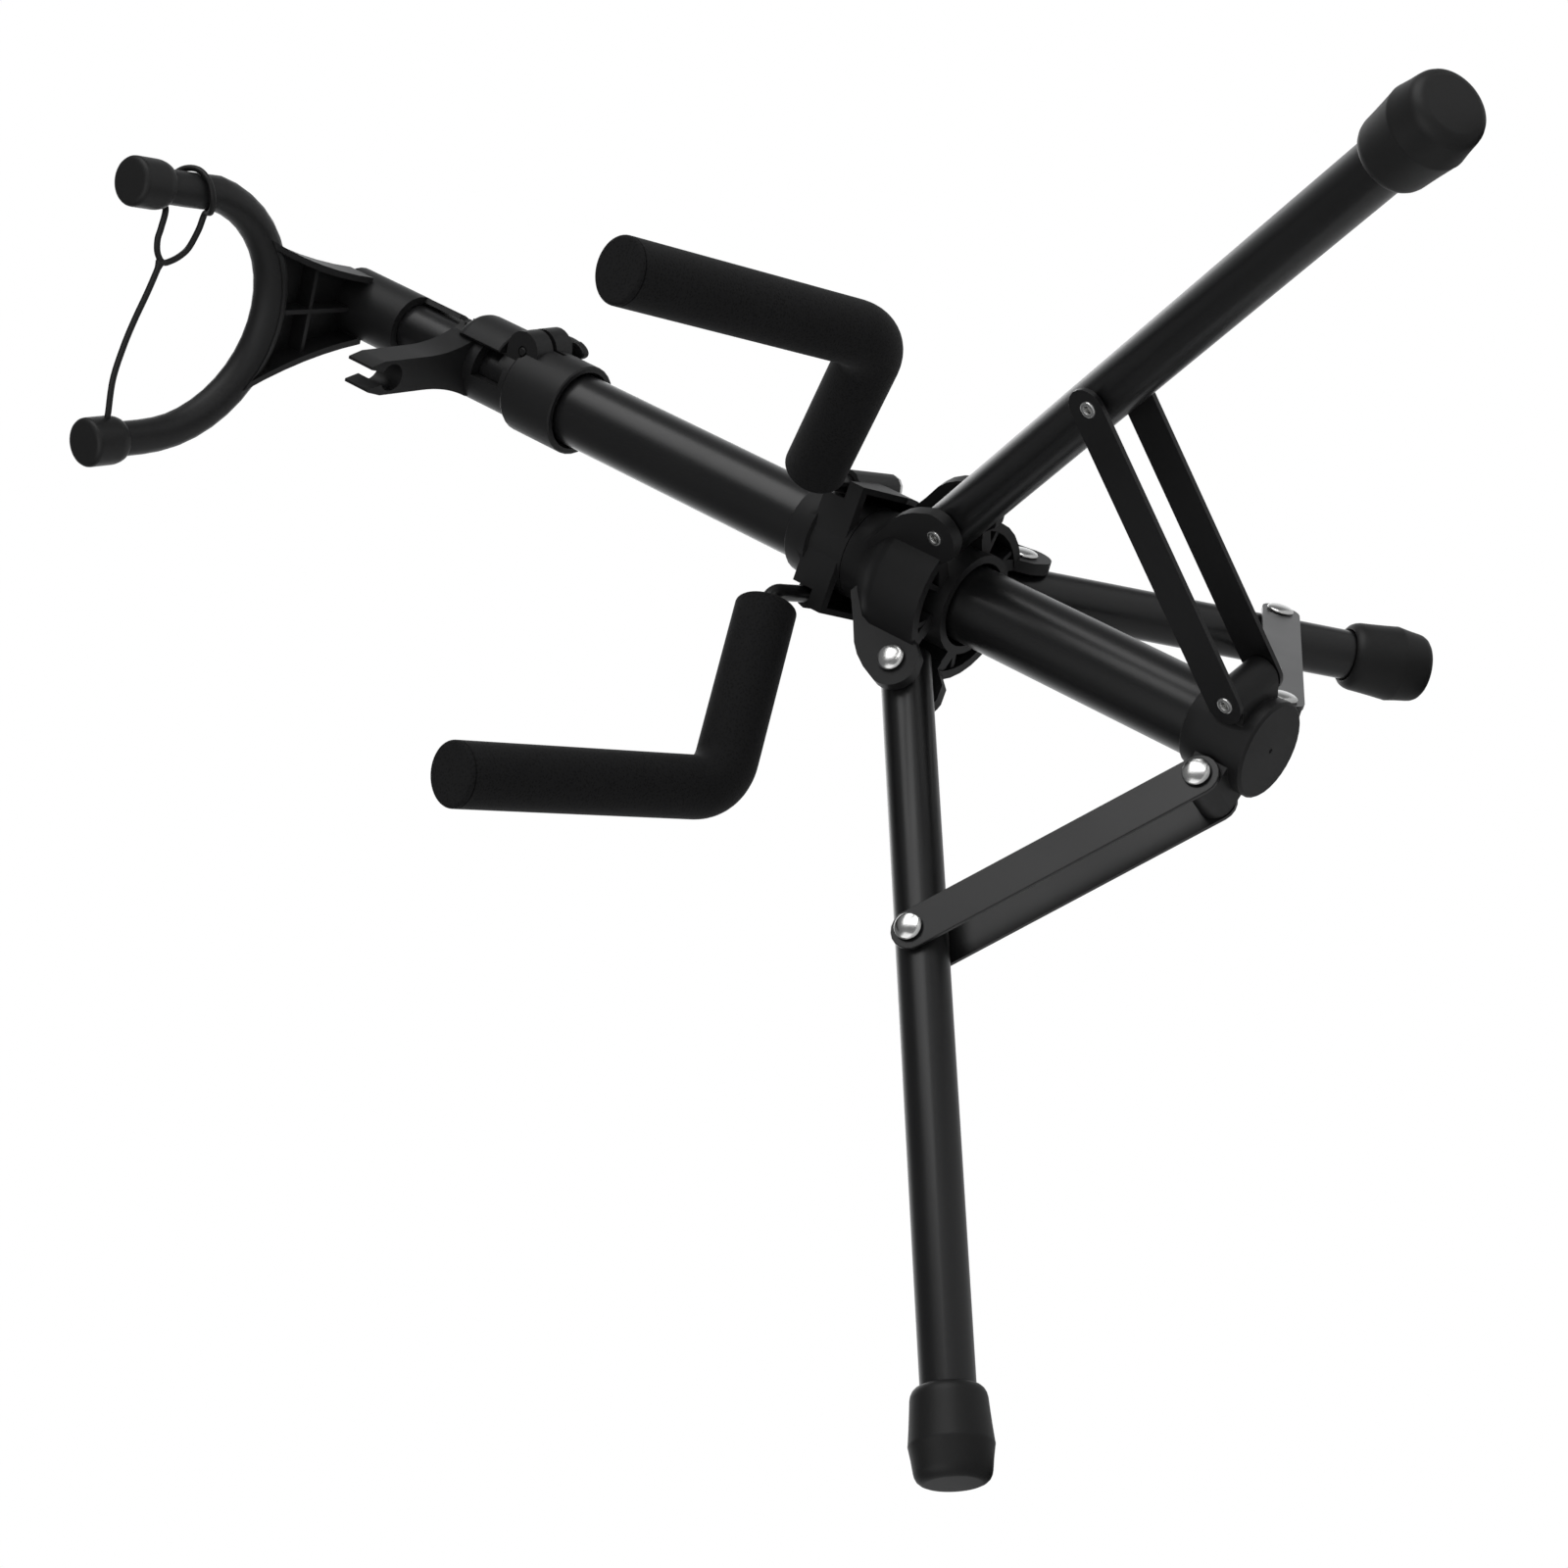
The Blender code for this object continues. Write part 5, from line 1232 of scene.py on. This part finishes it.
@dataclass
class YokeSet:
    """The neck yoke with its splayed ends, its two rubber caps and the forked strap."""

    bench: Workbench
    turn: float = math.radians(-5.17)
    half_span: float = 43.8 * MM
    height: float = 393.2 * MM
    bar_radius: float = 5.95 * MM
    edge: float = 0.45 * MM
    edge_angle: float = 36.0
    smooth: float = 40.0
    arm_inside: float = 20.0 * MM
    ease_from: float = 84.0 * MM
    splay_from: float = 91.0 * MM
    splay_ease: float = 6.0 * MM
    splay_at: float = 98.0 * MM
    splay: dict[int, float] = field(default_factory=lambda: {1: math.radians(7.5), -1: math.radians(-1.0)})
    cap_radius: float = 8.35 * MM
    cap_tip: float = 118.6 * MM
    cap_length: float = 14.6 * MM
    cap_floor: float = 7.3 * MM
    cap_gap: float = 0.3 * MM
    cap_lip: float = 0.25 * MM
    cap_smooth: float = 34.0
    cap_crown: tuple[tuple[float, float], ...] = (
        (2.2, 0.0), (1.2, 0.12), (0.45, 0.55), (0.08, 1.2), (0.0, 2.0),
    )
    cap_mouth: tuple[tuple[float, float], ...] = (
        (0.0, 4.2), (0.12, 3.0), (0.45, 1.6), (0.85, 0.6), (1.3, 0.1),
    )
    strap_root: float = 110.2 * MM
    strap_radius: float = 1.1 * MM
    strap_seat: float = 1.3 * MM
    strap_lead: float = 1.5 * MM
    strap_smooth: float = 60.0
    fork_steps: int = 8
    fork_swell: float = 0.07
    melt_size: float = 0.26 * MM
    soften_turns: int = 6
    cord_points: tuple[tuple[float, float], ...] = (
        (-22.0, -110.7), (-10.6, -108.6), (-1.5, -105.9), (7.5, -102.6), (15.0, -100.2), (18.4, -99.3),
    )
    loop_points: tuple[tuple[float, float, float], ...] = (
        (18.2, -98.2, 0.0), (18.7, -94.4, 0.0), (20.5, -90.7, 0.0), (23.2, -87.8, 0.0),
        (29.3, -85.2, -0.2), (35.1, -84.4, -0.9), (37.2, -86.2, -5.4), (42.6, -88.3, -7.4),
        (47.6, -89.3, -5.3), (50.0, -90.0, 0.0), (48.4, -92.0, 5.3), (43.5, -95.6, 7.4),
        (38.5, -98.6, 5.2), (36.0, -100.1, 1.0), (30.1, -101.6, 0.0), (26.2, -102.2, 0.0),
        (21.6, -101.2, 0.0),
    )

    def build(self) -> None:
        """Builds the yoke, its caps and the strap."""
        place = self.bench.stand @ Matrix.Rotation(self.turn, 4, "Z")
        self._yoke(place)
        for side, label in ((1, "right"), (-1, "left")):
            self._cap(side, label, place)
        self._strap(place)

    def _pivot(self, side: int) -> Vector:
        """The point that an arm's end is splayed about."""
        return Vector((side * self.half_span, -self.splay_at, self.height))

    def _yoke(self, place: Matrix) -> None:
        """Splays the ends of the moulded yoke and rounds its edges.

        Args:
            place: The yoke's frame.
        """
        bench = self.bench
        piece = bench.copy_of("yoke", "yoke_moulding")
        bench.place(piece, place.inverted())
        near, far, inside = self.ease_from, self.splay_from, self.arm_inside
        for side, angle in self.splay.items():
            bench.pick(piece, lambda spot: spot.y < -far and spot.x * side > inside)
            bpy.ops.transform.rotate(value=-angle, orient_axis="Z", center_override=self._pivot(side))
            bench.pick(piece, lambda spot: -far <= spot.y < -near and spot.x * side > inside)
            bpy.ops.transform.translate(value=(-abs(angle) * self.splay_ease * side, 0.0, 0.0))
            bpy.ops.object.mode_set(mode="OBJECT")
        bench.bevel(piece, self.edge, self.edge_angle)
        bench.place(piece, place)
        bench.hand_over(piece, MOULDED_PLASTIC, Body.YOKE, "yoke", smooth=self.smooth)

    def _cap(self, side: int, label: str, place: Matrix) -> None:
        """Builds one rubber cap.

        Args:
            side: 1 for the right arm and -1 for the left.
            label: Its name.
            place: The yoke's frame.
        """
        bore = self.bar_radius + self.cap_gap
        radius, length, lip = self.cap_radius, self.cap_length, self.cap_lip
        profile = [(radius - drop * MM, -back * MM) for drop, back in self.cap_crown]
        profile += [(radius - drop * MM, ahead * MM - length) for drop, ahead in self.cap_mouth]
        profile += [(bore + lip, -length), (bore, lip - length), (bore, -self.cap_floor)]
        piece = self.bench.lathe(f"rubber_cap_{label}", profile, 64)
        tip = Vector((side * self.half_span, -self.cap_tip, self.height))
        lie = Matrix.Translation(tip) @ Matrix.Rotation(math.radians(90.0), 4, "X")
        pivot = self._pivot(side)
        turn = Matrix.Rotation(self.splay[side], 4, "Z")
        splay = Matrix.Translation(pivot) @ turn @ Matrix.Translation(-pivot)
        self.bench.place(piece, place @ splay @ lie)
        self.bench.hand_over(
            piece, FOOT_RUBBER, Body.YOKE, f"yoke_cap_{label}", smooth=self.cap_smooth
        )

    def _strap(self, place: Matrix) -> None:
        """Builds the strap in one piece: a cord that forks into a loop, with a moulded fillet at the fork.

        Args:
            place: The yoke's frame.
        """
        root = -self.half_span + self.cap_radius - self.strap_seat
        start = Vector((root, -self.strap_root, self.height))
        level = self.height / MM
        cord = [start, start + Vector((self.strap_seat + self.strap_lead, 0.0, 0.0))]
        cord += [Vector((x, y, level)) * MM for x, y in self.cord_points]
        path = [cord[0]] + smooth_path(cord[1:], 10)
        loop = [Vector((x, y, level + rise)) * MM for x, y, rise in self.loop_points]
        steps = self.fork_steps
        tapers = [1.0] * (len(path) - steps)
        tapers += [1.0 + self.fork_swell * step for step in range(1, steps + 1)]
        piece = self.bench.sweep("forked_strap", path, self.strap_radius, 24, tapers)
        ring = smooth_path(loop, 8, cyclic=True)
        other = self.bench.sweep("forked_strap_loop", ring, self.strap_radius, 24, cyclic=True)
        self.bench.join(piece, other)
        melt = piece.modifiers.new("Melt", "REMESH")
        melt.mode = "VOXEL"
        melt.voxel_size = self.melt_size
        soften = piece.modifiers.new("Soften", "SMOOTH")
        soften.factor = 0.5
        soften.iterations = self.soften_turns
        for title in ("Melt", "Soften"):
            bpy.ops.object.modifier_apply(modifier=title)
        self.bench.place(piece, place)
        self.bench.hand_over(piece, STRAP_RUBBER, Body.YOKE, "neck_strap", smooth=self.strap_smooth)


@dataclass(frozen=True)
class Lamp:
    """One soft square lamp: its place and side in metres, and its power in watts."""

    name: str
    place: tuple[float, float, float]
    side: float
    power: float


@dataclass
class Studio:
    """The pale floor, the soft lamps and the camera at the photograph's angle."""

    bench: Workbench
    focal_share: float = 3486.56 / 1600.0
    sensor: float = 36.0
    camera_at: tuple[float, float, float] = (240.97, -889.02, -430.19)
    camera_right: tuple[float, float, float] = (0.29419, 0.60070, -0.74338)
    camera_up: tuple[float, float, float] = (0.91066, 0.05990, 0.40880)
    camera_back: tuple[float, float, float] = (0.29009, -0.79723, -0.52941)
    near_clip: float = 0.01
    far_clip: float = 50.0
    white: tuple[float, float, float, float] = (1.0, 1.0, 1.0, 1.0)
    daylight: tuple[float, float, float, float] = (0.98, 0.99, 1.0, 1.0)
    backdrop_from: float = 0.45
    backdrop_full: float = 0.97
    fill_level: float = 0.14
    backdrop_level: float = 1.0
    aim: tuple[float, float, float] = (0.0, -0.02, 0.2)
    lamps: tuple[Lamp, ...] = (
        Lamp("key_lamp", (1.5, -0.5, 1.0), 1.6, 16.0),
        Lamp("front_lamp", (-0.3, -1.7, 0.5), 1.6, 8.0),
        Lamp("back_lamp", (-0.4, 1.5, 1.2), 1.2, 5.0),
    )
    floor_side: float = 6.0
    floor_level: float = -0.2 * MM
    floor_colour: tuple[float, float, float, float] = (0.82, 0.82, 0.82, 1.0)
    floor_roughness: float = 0.7

    def build(self) -> None:
        """Sets up the camera, the world, the lamps and the floor."""
        self._camera()
        self._world()
        for lamp in self.lamps:
            self._light(lamp)
        self._floor()
        bpy.context.scene.view_settings.view_transform = "Standard"

    def _camera(self) -> None:
        """Places the camera."""
        self.bench.clear_selection()
        bpy.ops.object.camera_add()
        camera = bpy.context.object
        camera.name = "studio_camera"
        camera.data.sensor_width = self.sensor
        camera.data.lens = self.focal_share * self.sensor
        camera.data.clip_start = self.near_clip
        camera.data.clip_end = self.far_clip
        axes = Matrix((self.camera_right, self.camera_up, self.camera_back)).transposed().to_4x4()
        axes.translation = Vector(self.camera_at) * MM
        camera.matrix_world = self.bench.stand @ axes
        bpy.context.scene.camera = camera

    def _world(self) -> None:
        """A white backdrop behind the stand, for the camera and for gloss, and a soft light all round."""
        world = bpy.data.worlds.new("studio_world")
        world.use_nodes = True
        bpy.context.scene.world = world
        tree = world.node_tree
        tree.nodes.clear()
        behind = self.bench.stand.to_3x3() @ Vector(self.camera_back) * -1.0
        place = add_node(tree, "TexCoord", {})
        toward = tree.nodes.new("ShaderNodeVectorMath")
        toward.operation = "DOT_PRODUCT"
        feed(tree, toward, {0: place.outputs["Generated"], 1: behind})
        level = tree.nodes.new("ShaderNodeMapRange")
        level.interpolation_type = "SMOOTHSTEP"
        span = {"From Min": self.backdrop_from, "From Max": self.backdrop_full}
        span |= {"To Min": self.fill_level, "To Max": self.backdrop_level}
        feed(tree, level, {"Value": toward.outputs["Value"], **span})
        strength = level.outputs["Result"]
        fill = add_node(tree, "Background", {"Color": self.daylight, "Strength": strength})
        white = add_node(tree, "Background", {"Color": self.white, "Strength": 1.0})
        rays = add_node(tree, "LightPath", {})
        sources = {1: fill.outputs["Background"], 2: white.outputs["Background"]}
        mix = add_node(tree, "MixShader", {"Fac": rays.outputs["Is Camera Ray"], **sources})
        add_node(tree, "OutputWorld", {"Surface": mix.outputs["Shader"]})

    def _light(self, lamp: Lamp) -> None:
        """Adds one lamp."""
        self.bench.clear_selection()
        where = Vector(lamp.place)
        turn = (where - Vector(self.aim)).to_track_quat("Z", "Y").to_euler()
        bpy.ops.object.light_add(type="AREA", location=where, rotation=turn)
        light = bpy.context.object
        light.name = lamp.name
        light.data.shape = "SQUARE"
        light.data.size = lamp.side
        light.data.energy = lamp.power

    def _floor(self) -> None:
        """A pale floor that shows from above only, since the camera looks from just below it."""
        self.bench.clear_selection()
        bpy.ops.mesh.primitive_grid_add(
            x_subdivisions=8, y_subdivisions=8, size=self.floor_side, location=(0.0, 0.0, self.floor_level)
        )
        floor = bpy.context.object
        floor.name = "studio_floor"
        bpy.ops.object.transform_apply(location=True, rotation=True, scale=True)
        material = bpy.data.materials.new("pale_floor")
        material.use_nodes = True
        tree = material.node_tree
        shader = tree.nodes["Principled BSDF"]
        feed(tree, shader, {"Base Color": self.floor_colour, "Roughness": self.floor_roughness})
        face = add_node(tree, "NewGeometry", {})
        clear = add_node(tree, "BsdfTransparent", {})
        sides = {1: shader.outputs["BSDF"], 2: clear.outputs["BSDF"]}
        mix = add_node(tree, "MixShader", {"Fac": face.outputs["Backfacing"], **sides})
        feed(tree, tree.nodes["Material Output"], {"Surface": mix.outputs["Shader"]})
        floor.data.materials.append(material)


def write_sizes() -> None:
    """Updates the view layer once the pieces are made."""
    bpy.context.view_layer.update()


def main() -> None:
    """Builds the sub-assemblies in order, then the studio."""
    logging.basicConfig(level=logging.INFO, format="%(name)s: %(message)s")
    bench = Workbench()
    for assembly in (TubeSet(bench), LegSet(bench), RivetSet(bench), Mouldings(bench)):
        assembly.build()
    for label, side in (("right", 1), ("left", -1)):
        CradleArm(bench, label, side).build()
    YokeSet(bench).build()
    Studio(bench).build()
    LOG.info("%d pieces made", bench.count)
    write_sizes()


if __name__ == "__main__":
    main()
